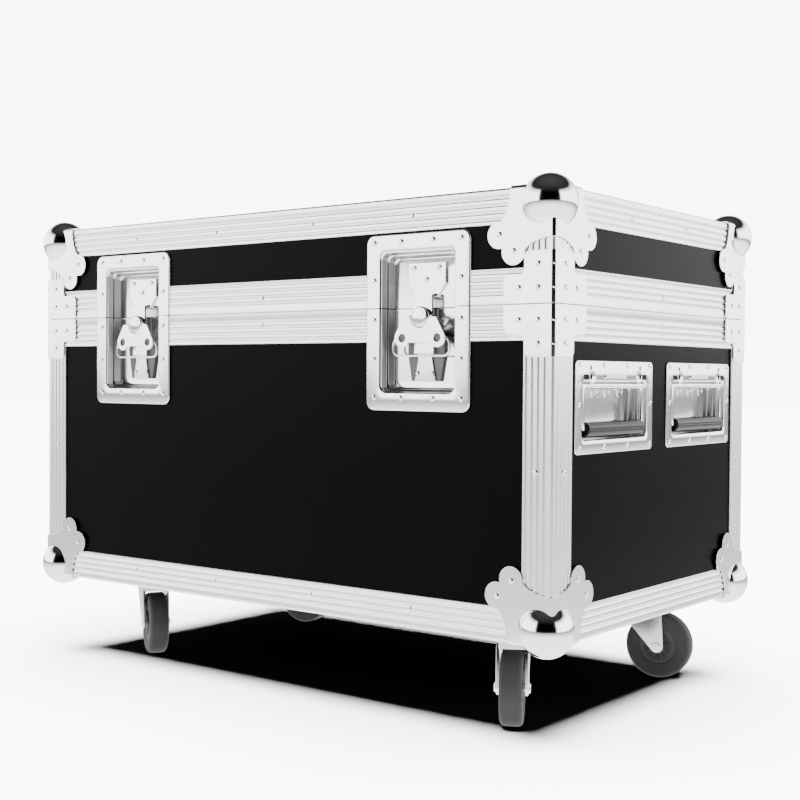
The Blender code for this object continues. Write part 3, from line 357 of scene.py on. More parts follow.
def run_tree(points, attributes, tree, values, name, joined=None):
    """Put a tree on a cloud of points, with named directions, and return the plain mesh that it makes."""
    mesh = bpy.data.meshes.new(name)
    edges = [(i, i + 1) for i in range(len(points) - 1)] if joined else []
    if joined == "closed":
        edges.append((len(points) - 1, 0))
    mesh.from_pydata([tuple(point) for point in points], edges, [])
    for label, rows in attributes.items():
        for item, row in zip(mesh.attributes.new(label, "FLOAT_VECTOR", "POINT").data, rows):
            item.vector = row
    maker = linked(name, mesh)
    modifier = maker.modifiers.new(name, "NODES")
    modifier.node_group = tree
    for item in tree.interface.items_tree:
        if item.in_out == "INPUT" and item.name in values:
            modifier[item.identifier] = values[item.name]
    result = evaluated_mesh(maker)
    bpy.data.objects.remove(maker, do_unlink=True)
    return result


def named(tree, label):
    return add_node(tree, "GeometryNodeInputNamedAttribute", {"Name": label},
                    data_type="FLOAT_VECTOR").outputs["Attribute"]


def set_on_points(tree, enter, leave, points, piece, turn, size=(1, 1, 1)):
    """Put a piece on each point, and end the tree."""
    put = add_node(tree, "GeometryNodeInstanceOnPoints", {"Points": points, "Instance": piece, "Rotation": turn,
                                                          "Scale": size})
    end_tree(tree, put.outputs["Instances"], enter, leave)
    return tree


def end_tree(tree, geometry, enter, leave):
    """Every tree ends by making its instances real and giving them their finish."""
    real = add_node(tree, "GeometryNodeRealizeInstances", {"Geometry": geometry})
    paint = add_node(tree, "GeometryNodeSetMaterial", {"Geometry": real.outputs["Geometry"],
                                                       "Material": enter.outputs["Finish"]})
    link(tree, paint.outputs["Geometry"], leave.inputs["Geometry"])
    return tree


def extrusion_tree():
    """Sweep a profile along +X, then set one length of it at each point, turned and stretched to fit."""
    tree, enter, leave = new_tree("extrusion_runs", [("Profile", "NodeSocketObject", None),
                                                     ("Finish", "NodeSocketMaterial", None)])
    info = add_node(tree, "GeometryNodeObjectInfo", {"Object": enter.outputs["Profile"]})
    outline = add_node(tree, "GeometryNodeMeshToCurve", {"Mesh": info.outputs["Geometry"]})
    line = add_node(tree, "GeometryNodeCurvePrimitiveLine", {"End": (1, 0, 0)})
    sweep = add_node(tree, "GeometryNodeCurveToMesh", {"Curve": line.outputs["Curve"], "Fill Caps": True,
                                                       "Profile Curve": outline.outputs["Curve"]})
    angles = add_node(tree, "FunctionNodeEulerToRotation", {"Euler": named(tree, "run_turn")})
    return set_on_points(tree, enter, leave, enter.outputs["Geometry"], sweep.outputs["Mesh"],
                         angles.outputs["Rotation"], named(tree, "run_size"))


def rivet_tree():
    """A low domed head, set at each point along its outward direction."""
    tree, enter, leave = new_tree("rivets", [("Radius", "NodeSocketFloat", RIVET_RADIUS),
                                             ("Rise", "NodeSocketFloat", RIVET_RISE),
                                             ("Finish", "NodeSocketMaterial", None)])
    radius = enter.outputs["Radius"]
    dome = add_node(tree, "GeometryNodeMeshUVSphere", {"Segments": 16, "Rings": 8, "Radius": radius})
    flat = math_node(tree, "DIVIDE", enter.outputs["Rise"], radius)
    size = add_node(tree, "ShaderNodeCombineXYZ", {"X": 1.0, "Y": 1.0, "Z": flat})
    squash = add_node(tree, "GeometryNodeTransform", {"Geometry": dome.outputs["Mesh"], "Scale": size.outputs[0]})
    aim = add_node(tree, "FunctionNodeAlignRotationToVector", {"Vector": named(tree, "outward")}, axis="Z")
    return set_on_points(tree, enter, leave, enter.outputs["Geometry"], squash.outputs["Geometry"],
                         aim.outputs["Rotation"])


def wire_tree():
    """A round wire along a line of points."""
    tree, enter, leave = new_tree("bent_wire", [("Radius", "NodeSocketFloat", 0.003),
                                                ("Finish", "NodeSocketMaterial", None)])
    path = add_node(tree, "GeometryNodeMeshToCurve", {"Mesh": enter.outputs["Geometry"]})
    ring = add_node(tree, "GeometryNodeCurvePrimitiveCircle", {"Resolution": 20, "Radius": enter.outputs["Radius"]})
    sweep = add_node(tree, "GeometryNodeCurveToMesh", {"Curve": path.outputs["Curve"], "Fill Caps": True,
                                                       "Profile Curve": ring.outputs["Curve"]})
    return end_tree(tree, sweep.outputs["Mesh"], enter, leave)


def ray_tree():
    """One bar of a given size laid along each of a number of rays from a centre, all the way round."""
    tree, enter, leave = new_tree("spokes", [("Count", "NodeSocketInt", 8), ("Inner", "NodeSocketFloat", 0.008),
                                             ("Size", "NodeSocketVector", (0.01, 0.01, 0.01)),
                                             ("Finish", "NodeSocketMaterial", None)])
    circle = add_node(tree, "GeometryNodeMeshCircle", {"Vertices": enter.outputs["Count"],
                                                       "Radius": enter.outputs["Inner"]})
    bar = add_node(tree, "GeometryNodeMeshCube", {"Size": enter.outputs["Size"]})
    place = add_node(tree, "GeometryNodeInputPosition").outputs["Position"]
    aim = add_node(tree, "FunctionNodeAlignRotationToVector", {"Vector": place}, axis="X")
    return set_on_points(tree, enter, leave, circle.outputs["Mesh"], bar.outputs["Mesh"],
                         aim.outputs["Rotation"])


EXTRUSIONS = extrusion_tree()
RIVETS = rivet_tree()
WIRES = wire_tree()
SPOKES = ray_tree()


# ---- aluminium extrusions -----------------------------------------------------------------------------
def grooved_face(start, length):
    """Points across a leg from its start: (distance, depth), with a smooth valley at each groove."""
    points = [(start, 0.0)]
    for share in GROOVES:
        for step in range(-4, 5):
            swing = step / 4
            depth = GROOVE_DEPTH * 0.5 * (1 + math.cos(math.pi * swing))
            points.append((share * length + swing * GROOVE_HALF, depth))
    return points + [(length - SHARP_ROUND, 0.0), (length, SHARP_ROUND)]


def angle_profile():
    """Section of an edge extrusion; its outer corner is at the origin and its legs run along +Y and +Z."""
    one = grooved_face(EDGE_ROUND, LEG)
    round_edge = arc((EDGE_ROUND, EDGE_ROUND), EDGE_ROUND, 265, 185, 6)
    return (one[::-1] + round_edge + [(d, u) for u, d in one]
            + [(SHEET, LEG), (SHEET, SHEET), (LEG, SHEET)])


def band_profile():
    """Section of a closure extrusion: a grooved band from the seam (0) outwards to its leg (LEG)."""
    face = [(0.0, SHARP_ROUND)] + grooved_face(SHARP_ROUND, LEG)
    return [(d, u) for u, d in face] + [(SHEET, LEG), (SHEET, 0)]


def profile_object(points, name):
    mesh = bpy.data.meshes.new(name)
    count = len(points)
    mesh.from_pydata([(-u, -v, 0) for u, v in points], [(i, (i + 1) % count) for i in range(count)], [])
    return linked(name, mesh)


def build_runs(runs, profile, name):
    """Each run is (start, end, across, up): a length of profile whose section lies in across and up."""
    starts, turns, sizes = [], [], []
    for start, end, across, up in runs:
        start, end = Vector(start), Vector(end)
        across, up = Vector(across), Vector(up)
        along = (end - start).normalized()
        if along.dot(across.cross(up)) < 0:
            start, end, along = end, start, -along
        turn = Matrix((along, across, up)).transposed()
        starts.append(start)
        turns.append(tuple(turn.to_euler()))
        sizes.append(((end - start).length, 1, 1))
    maker = profile_object(profile, f"{name}_profile")
    mesh = run_tree(starts, {"run_turn": turns, "run_size": sizes}, EXTRUSIONS,
                    {"Profile": maker, "Finish": ALUMINIUM}, name)
    bpy.data.objects.remove(maker, do_unlink=True)
    return mesh


def edge_runs(z, inward, post_far):
    """The ring of extrusions at the bottom or the top, and the four posts up to post_far."""
    up = Vector((0, 0, inward))
    runs = []
    for side in (-1, 1):
        y = side * HALF_Y
        runs.append(((-HALF_X + RUN_TRIM, y, z), (HALF_X - RUN_TRIM, y, z), (0, -side, 0), up))
        x = side * HALF_X
        runs.append(((x, -HALF_Y + RUN_TRIM, z), (x, HALF_Y - RUN_TRIM, z), (-side, 0, 0), up))
        for end in (-1, 1):
            foot = (end * HALF_X, y, z + inward * RUN_TRIM)
            runs.append((foot, (end * HALF_X, y, post_far), (-end, 0, 0), (0, -side, 0)))
    return runs


def rim_runs(outward):
    """The closure bands: the front one stops at each latch dish."""
    up = Vector((0, 0, outward))
    z = SEAM + (GAP if outward > 0 else 0.0)
    outer, inner = (-corner[0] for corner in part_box("latch_left_lid_dish"))
    corner = EDGE_ROUND
    runs = []
    for low, high in ((-HALF_X + corner, -outer - GAP), (-inner + GAP, inner - GAP),
                      (outer + GAP, HALF_X - corner)):
        runs.append(((low, -HALF_Y, z), (high, -HALF_Y, z), (0, 1, 0), up))
    runs.append(((-HALF_X + corner, HALF_Y, z), (HALF_X - corner, HALF_Y, z), (0, -1, 0), up))
    for end in (-1, 1):
        x = end * HALF_X
        runs.append(((x, -HALF_Y + corner, z), (x, HALF_Y - corner, z), (-end, 0, 0), up))
    return runs


def build_extrusions():
    angle, band = angle_profile(), band_profile()
    for name, runs, profile, body, nodes in (
            ("base_edges", edge_runs(BOTTOM, 1, SEAM - LEG), angle, "base", ["base_edge_frame"]),
            ("lid_edges", edge_runs(TOP, -1, SEAM + LEG), angle, "lid", ["lid_edge_frame"]),
            ("base_closure", rim_runs(-1), band, "base", ["base_rim", "base_rim_front"]),
            ("lid_closure", rim_runs(1), band, "lid", ["lid_rim", "lid_rim_front"])):
        place_piece(build_runs(runs, profile, name), name, None, body, nodes, "aluminium", smooth=40)


# ---- folded plates ------------------------------------------------------------------------------------
def fold(u):
    """Where a point u along a plate lands when the plate is folded halfway round a case edge."""
    reach = FOLD * math.pi / 4
    if u >= reach:
        return u - reach + FOLD, 0.0, 0.0
    angle = (reach - u) / FOLD
    return FOLD * (1 - math.sin(angle)), FOLD * (1 - math.cos(angle)), angle


def add_folded(shape, outline, corner, across, up, out, both=False):
    """Half of a folded plate: u = 0 lies on the case's edge, and v = 0 too where both sides fold."""
    plate = bmesh.new()
    add_plate(plate, outline, PLATE, Matrix())
    for normal in (Vector((1, 0, 0)), Vector((0, 1, 0)))[:2 if both else 1]:
        for step in (1, 2, 3):
            everything = plate.verts[:] + plate.edges[:] + plate.faces[:]
            bmesh.ops.bisect_plane(plate, geom=everything, plane_co=normal * FOLD * math.pi / 4 * step / 3,
                                   plane_no=normal, dist=1e-7)
    walls = [face for face in plate.faces if all(abs(vert.co.x) < 1e-7 for vert in face.verts)
             or (both and all(abs(vert.co.y) < 1e-7 for vert in face.verts))]
    bmesh.ops.delete(plate, geom=walls, context="FACES_ONLY")
    for vert in plate.verts:
        u, v, lift = vert.co
        pos_u, drop_u, turn_u = fold(u)
        pos_v, drop_v, turn_v = fold(v) if both else (v, 0.0, 0.0)
        rise = lift + PLATE_LIFT
        vert.co = (corner + across * (pos_u - rise * math.sin(turn_u)) + up * (pos_v - rise * math.sin(turn_v))
                   + out * (rise * math.cos(turn_u) * math.cos(turn_v) - drop_u - drop_v))
    mesh = bpy.data.meshes.new("folded")
    plate.to_mesh(mesh)
    plate.free()
    shape.from_mesh(mesh)
    bpy.data.meshes.remove(mesh)


def brace_outline():
    """Half of a seam brace: a sideways wing beside the seam and an upright tab above it."""
    wing, wing_high, tab, high = 0.0545, 0.0280, 0.0318, 0.0495
    corner, small = 0.006, 0.003
    start = 0.0005
    return ([(0, start), (wing - small, start)]
            + arc((wing - small, start + small), small, 270, 360, 4)
            + arc((wing - corner, wing_high - corner), corner, 0, 90, 5)
            + [(tab + small, wing_high)] + arc((tab + small, wing_high + small), small, 270, 180, 3)
            + arc((tab - corner, high - corner), corner, 0, 90, 5) + [(0, high)])


def add_bump(shape, place, inward):
    """A small pressed bump across a brace's folded edge."""
    depth = FOLD * (math.sqrt(2) - 1) - PLATE - PLATE_LIFT + 0.0002
    across = Vector((0, 0, 1)).cross(inward)
    turn = Matrix((across, inward, Vector((0, 0, 1)))).transposed().to_4x4()
    where = Matrix.Translation(place + inward * depth) @ turn @ Matrix.Diagonal((0.0026, 0.0010, 0.0013, 1))
    bmesh.ops.create_uvsphere(shape, u_segments=16, v_segments=10, radius=1.0, matrix=where)


def build_braces():
    for body, sign in (("base", -1), ("lid", 1)):
        shape = bmesh.new()
        up = Vector((0, 0, sign))
        for end in (-1, 1):
            for side in (-1, 1):
                corner = Vector((end * HALF_X, side * HALF_Y, SEAM))
                inward_x, inward_y = Vector((-end, 0, 0)), Vector((0, -side, 0))
                add_folded(shape, brace_outline(), corner, inward_x, up, -inward_y)
                add_folded(shape, brace_outline(), corner, inward_y, up, -inward_x)
                for height in BRACE_ROWS:
                    add_bump(shape, corner + up * height, (inward_x + inward_y).normalized())
        bmesh.ops.remove_doubles(shape, verts=shape.verts, dist=1e-5)
        place_shape(shape, f"{body}_braces", ZINC, body, slot="aluminium", smooth=30, bevel=0.0005)


def corner_outline():
    """One plate of a ball corner, from the ball out to its two lobes, with an arch over each extrusion."""
    start, reach, spread = 0.022, 0.048, 0.0182
    far, near, radius = 0.060, 0.044, 0.0130
    notch = math.degrees(math.asin((far - near) / math.sqrt(2) / radius))
    arch = []
    for step in range(1, 10):
        v = 0.0312 * step / 9
        arch.append((reach + spread * (1 - math.sqrt(1 - (v / 0.0345) ** 2)), v))
    half = [(start, 0), (reach, 0)] + arch + arc((far, near), radius, -86, 45 + notch, 16)
    return half + [(v, u) for u, v in reversed(half)]


def corner_mesh():
    """The ball and its three plates at a corner whose inward directions are +X, +Y and +Z."""
    shape = bmesh.new()
    axes = (Vector((1, 0, 0)), Vector((0, 1, 0)), Vector((0, 0, 1)))
    for first, second, third in ((0, 1, 2), (1, 2, 0), (2, 0, 1)):
        add_folded(shape, corner_outline(), Vector(), axes[first], axes[second], -axes[third], True)
    bmesh.ops.remove_doubles(shape, verts=shape.verts, dist=1e-5)
    return to_mesh(shape, "corner_plates")


def ball_mesh():
    """The ball, trimmed where the case's own corner stands inside it."""
    shape = bmesh.new()
    bmesh.ops.create_uvsphere(shape, u_segments=64, v_segments=40, radius=BALL_RADIUS)
    bmesh.ops.translate(shape, vec=(BALL_INSET,) * 3, verts=shape.verts)
    maker = linked("ball", to_mesh(shape, "ball"))
    block = bmesh.new()
    add_box(block, (PLATE_LIFT,) * 3, (4 * BALL_RADIUS,) * 3)
    cutter = linked("inside", to_mesh(block, "inside"))
    trim = maker.modifiers.new("trim", "BOOLEAN")
    trim.operation = "DIFFERENCE"
    trim.object = cutter
    result = evaluated_mesh(maker)
    for item in (maker, cutter):
        bpy.data.objects.remove(item, do_unlink=True)
    return result


def build_corners():
    plates, ball = corner_mesh(), ball_mesh()
    for body, level in (("lid", 1), ("base", -1)):
        z = TOP if level > 0 else BOTTOM
        for row, side in (("front", -1), ("back", 1)):
            for hand, end in (("left", -1), ("right", 1)):
                where = Matrix.Translation((end * HALF_X, side * HALF_Y, z)) @ Matrix.Diagonal(
                    (-end, -side, -level, 1))
                spot = f"{body}_{row}_{hand}"
                for kind, source, material in (("plates", plates, ZINC), ("ball", ball, POLISHED)):
                    mesh = source.copy()
                    mesh.transform(where)
                    if end * side * level > 0:
                        mesh.flip_normals()
                    node = [f"{body}_corner_{row}_{hand}"]
                    place_piece(mesh, f"corner_{kind}_{spot}", material, body, node, "ball_steel",
                                smooth=30, bevel=0.0005 if kind == "plates" else 0.0)


# ---- round and pressed shapes -------------------------------------------------------------------------
def add_turned(shape, profile, where, segments=48):
    """A solid turned about where's Z axis from (radius, height) points; the ends close on the axis."""
    rings = []
    for radius, height in profile:
        rings.append([where @ Vector((radius * math.cos(2 * math.pi * step / segments),
                                      radius * math.sin(2 * math.pi * step / segments), height))
                      for step in range(segments)])
    loft(shape, rings)


def add_rings(shape, outline, rings, where):
    """A pressed sheet: closed loops at (inset, depth) joined one to the next, closed at both ends."""
    loft(shape, [[where @ Vector((u, v, -depth)) for u, v in outline(inset)] for inset, depth in rings])


def pressed_outline(half, low, high, outer_radius, inner_radius):
    """The outline at an inset from a dish's outer edge."""
    def outline(inset):
        radius = outer_radius if inset < 0.006 else inner_radius
        return rounded(half - inset, low + inset, high - inset, max(radius - 0.15 * inset, 0.002))
    return outline


def paint_pocket_shade(piece, where, depth):
    """Paint shade on the side walls deeper than a depth: they take a darker zinc that stands in for the shade
    inside the pocket.
    """
    piece.data.materials.append(POCKET_SHADE_ZINC)
    outward = where.col[2].xyz.normalized()
    for face in piece.data.polygons:
        deep = (face.center - where.translation).dot(outward) < -depth
        if deep and abs(face.normal.dot(outward)) < 0.7:
            face.material_index = 1


def half_of(shape, height, above):
    """Keep what lies above (or below) a level and close the cut."""
    geometry = shape.verts[:] + shape.edges[:] + shape.faces[:]
    cut = bmesh.ops.bisect_plane(shape, geom=geometry, plane_co=(0, 0, height), plane_no=(0, 0, 1),
                                 clear_inner=above, clear_outer=not above)["geom_cut"]
    edges = [item for item in cut if isinstance(item, bmesh.types.BMEdge)]
    bmesh.ops.triangle_fill(shape, use_beauty=True, use_dissolve=False, edges=edges)
    return shape


def rivets(name, points, body, nodes, slot, radius=RIVET_RADIUS, rise=RIVET_RISE, material=RIVET):
    """Rivet heads at (place, outward) pairs."""
    places, outwards = zip(*points)
    mesh = run_tree(places, {"outward": [tuple(outward) for outward in outwards]}, RIVETS,
                    {"Radius": radius, "Rise": rise, "Finish": material}, name)
    return place_piece(mesh, name, None, body, nodes, slot, smooth=60)


# ---- rivets along the case ----------------------------------------------------------------------------
def edge_rivets(level, z_edge, post_z):
    """Rivets of the extrusions at one end of the case: front, back, ends, top or bottom faces and posts."""
    mid = LEG * 0.575
    found = []
    flat = Vector((0, 0, -level))
    for side in (-1, 1):
        out_y = Vector((0, side, 0))
        for x in (-0.204, -0.072, 0.072, 0.204):
            found.append((Vector((x, side * HALF_Y, z_edge + level * mid)), out_y))
            found.append((Vector((x, side * (HALF_Y - mid), z_edge)), flat))
        out_x = Vector((side, 0, 0))
        for y in (-0.0645, 0.0602):
            found.append((Vector((side * HALF_X, y, z_edge + level * mid)), out_x))
            found.append((Vector((side * (HALF_X - mid), y, z_edge)), flat))
        for end in (-1, 1):
            if post_z is not None:
                found.append((Vector((end * (HALF_X - mid), side * HALF_Y, post_z)), out_y))
                found.append((Vector((end * HALF_X, side * (HALF_Y - mid), post_z)), Vector((end, 0, 0))))
    return found


def brace_and_lobe_rivets(level, z_edge):
    """Rivets of one body's seam braces and corner plates."""
    found = []
    lift = PLATE + PLATE_LIFT
    for end in (-1, 1):
        for side in (-1, 1):
            for across, rise in BRACE_RIVETS:
                z = SEAM - level * rise
                found.append((Vector((end * (HALF_X - across), side * (HALF_Y + lift), z)), Vector((0, side, 0))))
                found.append((Vector((end * (HALF_X + lift), side * (HALF_Y - across), z)), Vector((end, 0, 0))))
            for first, second in LOBES:
                found.append((Vector((end * (HALF_X - first), side * (HALF_Y + lift), z_edge + level * second)),
                              Vector((0, side, 0))))
                found.append((Vector((end * (HALF_X + lift), side * (HALF_Y - first), z_edge + level * second)),
                              Vector((end, 0, 0))))
                found.append((Vector((end * (HALF_X - first), side * (HALF_Y - second), z_edge - level * lift)),
                              Vector((0, 0, -level))))
    return found


def rim_rivets(level):
    """Rivets of one closure band: the middle of each end and between the latches."""
    z = SEAM - level * LEG * 0.42
    found = []
    for side in (-1, 1):
        found.append((Vector((side * HALF_X, 0.006, z)), Vector((side, 0, 0))))
        found.append((Vector((0.0, side * HALF_Y, z)), Vector((0, side, 0))))
    return found


def build_case_rivets():
    post_z = BOTTOM + 0.163
    rivets("base_rivets", edge_rivets(1, BOTTOM, post_z) + rim_rivets(1), "base",
           ["base_edge_frame", "base_rim"], "aluminium")
    rivets("lid_rivets", edge_rivets(-1, TOP, None) + rim_rivets(-1), "lid",
           ["lid_edge_frame", "lid_rim"], "aluminium")
    rivets("base_plate_rivets", brace_and_lobe_rivets(1, BOTTOM), "base", ["base_rim"], "ball_steel",
           rise=0.0015)
    rivets("lid_plate_rivets", brace_and_lobe_rivets(-1, TOP), "lid", ["lid_rim"], "ball_steel", rise=0.0015)


# ---- latches ------------------------------------------------------------------------------------------
DISH_HALF = 0.064
DISH_LOW, DISH_HIGH = -0.103, 0.074      # from the seam
DISC_DROP = 0.009                        # the spindle's axis below the seam
DISC_RADIUS = 0.0105
KEEPER_SHEET = 0.0020
KEEPER_RIVETS = ((-0.0155, 0.0405), (0.0155, 0.0405), (0.0, 0.0290))
LIP_REACH = 0.0120                       # the keeper's lip comes this close to the case's front
LOBE = (0.0217, -0.021)                  # centre of one of the wing's lobes, from the spindle's axis
WING_BACK = 0.0059
WIRE_DEPTH = 0.0076
HOUSING_BACK = 0.0192
HOUSING_TOP, HOUSING_WAIST, HOUSING_FOOT = -0.0006, -0.050, -0.073
LATCH_RINGS = ((0.0245, 0.0190), (0.0232, 0.0187), (0.0222, 0.0176), (0.0216, 0.0102), (0.0211, 0.0093),
               (0.0199, 0.0090), (0.0194, 0.0080), (0.0187, 0.0018), (0.0182, 0.0008), (0.0172, 0.0002),
               (0.0158, 0.0), (0.0014, 0.0), (0.0005, 0.0003), (0.0, 0.0009), (0.0, 0.0014),
               (0.0165, 0.0014), (0.0174, 0.0024), (0.0180, 0.0092), (0.0203, 0.0104), (0.0206, 0.0186),
               (0.0222, 0.0203), (0.0245, 0.0204))
LATCH_RIVETS = ([(u, v) for v in (0.066, -0.090) for u in (-0.0537, -0.0199, 0.0199, 0.0537)]
                + [(u, v) for v in (0.028, -0.012, -0.0514) for u in (-0.0537, 0.0537)])


def mirrored(half):
    """The same outline on the other side of u = 0, in the opposite order."""
    return [(-u, v) for u, v in reversed(half)]


def wing_outline():
    """The folding wing: two lobes, a notch for the disc, a peak each side and a straight lower edge."""
    notch = 0.0111
    half = arc((0, 0), notch, -90, -8, 8) + [(0.0148, 0.0), (0.0200, 0.0), (0.0207, -0.0006)]
    half += arc(LOBE, 0.0095, 30, -150, 20)
    return mirrored(half)[:-1] + half


def ring_path():
    """Centre line of the wire ring below the wing, open at the top behind the lobes."""
    half = ([(0.0210, -0.0200)] + arc((0.0255, -0.0290), 0.0095, 75, 0, 6)
            + arc((0.0280, -0.0317), 0.0070, 0, -90, 6))
    return half + mirrored(half)


def build_dish_half(node, where, body, above):
    """The half of the pressed dish above or below the seam, with its rivets."""
    dish = [f"{node}_{body}_dish"]
    shape = bmesh.new()
    add_rings(shape, pressed_outline(DISH_HALF, DISH_LOW, DISH_HIGH, 0.0095, 0.0100), LATCH_RINGS, where)
    bmesh.ops.recalc_face_normals(shape, faces=shape.faces)
    half_of(shape, SEAM + (DISH_GAP if above else -DISH_GAP), above)
    pressing = place_shape(shape, f"{node}_{body}_pressing", DISH, body, dish, "dish_steel", smooth=50)
    # painted shade on the deep pocket walls
    paint_pocket_shade(pressing, where, 0.003)
    spots = [(u, v, 0) for u, v in LATCH_RIVETS if (v > 0) == above]
    if above:
        spots += [(u, v, -KEEPER_FRONT) for u, v in KEEPER_RIVETS]
    else:
        spots += [(u, -0.0655, -0.0145) for u in (-0.0090, 0.0090)]
    heads = [(where @ Vector(spot), (0, -1, 0)) for spot in spots]
    rivets(f"{node}_{body}_rivets", heads, body, dish, "dish_steel", rise=0.0016)


def build_keeper(node, where):
    """The keeper: a thin plate on the lid dish's floor, with a lip at its foot that the hook takes."""
    foot, high = 0.0105, 0.0455
    half, wide = 0.0125, 0.0235
    back = KEEPER_FRONT + KEEPER_SHEET
    shape = bmesh.new()
    add_plate(shape, [(-half, foot), (half, foot), (wide, 0.0245), (wide, high), (-wide, high), (-wide, 0.0245)],
              KEEPER_SHEET, behind(where, back))
    add_plate(shape, [(-half, foot), (half, foot), (half, 0.0145), (-half, 0.0145)], back - LIP_REACH,
              behind(where, back))
    place_shape(shape, f"{node}_keeper_plate", ZINC, "lid", [f"{node}_keeper"], "latch_steel", bevel=0.0007)


def build_disc(node, axis):
    """The disc that turns the hook; its two small near-black dots are painted shade that stands for two small
    holes.
    """
    spindle = f"{node}_spindle"
    shape = bmesh.new()
    add_turned(shape, [(DISC_RADIUS - 0.0004, -0.0092), (DISC_RADIUS, -0.0088), (DISC_RADIUS, -0.0060),
                       (DISC_RADIUS - 0.0004, -0.0053), (DISC_RADIUS - 0.0016, -0.0048), (0.0050, -0.0043)], axis)
    add_turned(shape, [(0.0055, -0.0168), (0.0055, -0.0090)], axis)
    add_bar(shape, axis @ Vector((-0.0150, 0, -0.0070)), axis @ Vector((0.0150, 0, -0.0070)), 0.0008, 16)
    place_shape(shape, f"{node}_disc", ZINC, spindle, [spindle], "latch_steel", smooth=40)
    # two near-black heads that paint the shade of the disc's two small holes
    dots = [(axis @ Vector((u, v, -0.0044)), (0, -1, 0)) for u, v in ((0.0036, 0.0042), (-0.0024, -0.0018))]
    rivets(f"{node}_disc_dots", dots, spindle, [spindle], "latch_steel", radius=0.0009, rise=0.0003,
           material=HOLE_SHADE)


def build_wing(node, axis):
    """The wing that folds out to be turned, the wire round it, and dark grey discs behind its two holes that paint
    the shade seen through them.
    """
    butterfly = f"{node}_butterfly"
    lobes = [(end * LOBE[0], LOBE[1]) for end in (-1, 1)]
    shape = bmesh.new()
    add_plate(shape, wing_outline(), 0.0016, behind(axis, WING_BACK),
              [arc(lobe, 0.0043, 0, 345, 23) for lobe in lobes])
    for end in (-1, 1):
        add_bar(shape, axis @ Vector((end * 0.0110, 0, -0.0072)), axis @ Vector((end * 0.0148, 0, -0.0072)),
                0.0019, 24)
    place_shape(shape, f"{node}_wing", ZINC, butterfly, [butterfly], "latch_steel", bevel=0.0004)
    path = [axis @ Vector((u, v, -WIRE_DEPTH)) for u, v in ring_path()]
    mesh = run_tree(path, {}, WIRES, {"Radius": 0.0012, "Finish": POLISHED}, f"{node}_wire", joined="open")
    place_piece(mesh, f"{node}_wire", None, butterfly, [butterfly], "latch_steel", smooth=60)
    # dark grey discs behind the holes: painted shade seen through them
    backs = bmesh.new()
    for lobe in lobes:
        centre = axis @ Vector((*lobe, -0.0062))
        add_bar(backs, centre, centre + Vector((0, 0.0006, 0)), 0.0050, 24)
    place_shape(backs, f"{node}_wing_bushes", GUIDE_AND_HOLE_SHADE, butterfly, [butterfly], "latch_steel")


def build_housing(node, where):
    """The cam housing: a light zinc centre that widens downwards between two tapered guides, whose dark grey is
    partly their own tone and partly painted shade and dark reflection on the housing's sloped sides.
    """
    dish = [f"{node}_base_dish"]
    top, neck, foot = 0.0120, 0.0085, 0.0130
    shape = bmesh.new()
    add_plate(shape, [(-top, HOUSING_TOP), (-neck, HOUSING_WAIST), (-foot, HOUSING_FOOT), (foot, HOUSING_FOOT),
                      (neck, HOUSING_WAIST), (top, HOUSING_TOP)], 0.0048, behind(where, HOUSING_BACK))
    add_plate(shape, [(-top, HOUSING_TOP), (-top, -0.046), (top, -0.046), (top, HOUSING_TOP)], 0.0070,
              behind(where, 0.0190))
    place_shape(shape, f"{node}_housing", ZINC, "base", dish, "latch_steel", bevel=0.0006)
    shape = bmesh.new()
    for end in (-1, 1):
        guide = ((0.0122, -0.0300), (0.0086, HOUSING_WAIST), (0.0131, HOUSING_FOOT), (0.0180, HOUSING_FOOT),
                 (0.0228, -0.0460), (0.0228, -0.0300))
        add_plate(shape, [(end * u, v) for u, v in guide], 0.0030, behind(where, HOUSING_BACK))
    place_shape(shape, f"{node}_guides", GUIDE_AND_HOLE_SHADE, "base", dish, "latch_steel", bevel=0.0006)


def build_latch(hand):
    node = f"latch_{hand}"
    where = facing((LATCHES[hand], FRONT_FACE, SEAM), (1, 0, 0), (0, 0, 1))
    axis = moved(where, 0, -DISC_DROP, 0)
    build_dish_half(node, where, "base", False)
    build_dish_half(node, where, "lid", True)
    build_housing(node, where)
    build_keeper(node, where)
    build_disc(node, axis)
    build_wing(node, axis)


# ---- handles ------------------------------------------------------------------------------------------
HANDLE_RINGS = ((0.0190, 0.0195), (0.0178, 0.0192), (0.0168, 0.0182), (0.0160, 0.0130), (0.0150, 0.0124),
                (0.0144, 0.0116), (0.0136, 0.0018), (0.0131, 0.0008), (0.0120, 0.0002), (0.0108, 0.0),
                (0.0012, 0.0), (0.0004, 0.0003), (0.0, 0.0008), (0.0, 0.0013), (0.0118, 0.0013),
                (0.0124, 0.0022), (0.0131, 0.0120), (0.0149, 0.0136), (0.0155, 0.0190), (0.0170, 0.0206),
                (0.0190, 0.0208))
HANDLE_RIVETS = ([(u, v) for v in (0.0405, -0.0388) for u in (-0.0720, -0.0240, 0.0240, 0.0720)]
                 + [(u, v) for v in (0.0217, 0.0030) for u in (-0.0728, 0.0728)])
HANDLE_HALF_WIDE, HANDLE_HALF_HIGH = 0.07925, 0.045
BAIL_WIRE = 0.0030
GRIP_RADIUS = 0.0075
EXTRA_TOP = 0.0072                       # the flange is this much wider above the pocket


def handle_outline(inset):
    """The dish's outline at an inset; the top insets run further, for the wider flange."""
    top = HANDLE_HALF_HIGH - inset - (EXTRA_TOP if inset > 0.010 else 0.0)
    return rounded(HANDLE_HALF_WIDE - inset, -HANDLE_HALF_HIGH + inset, top, 0.005 if inset < 0.006 else 0.0060)


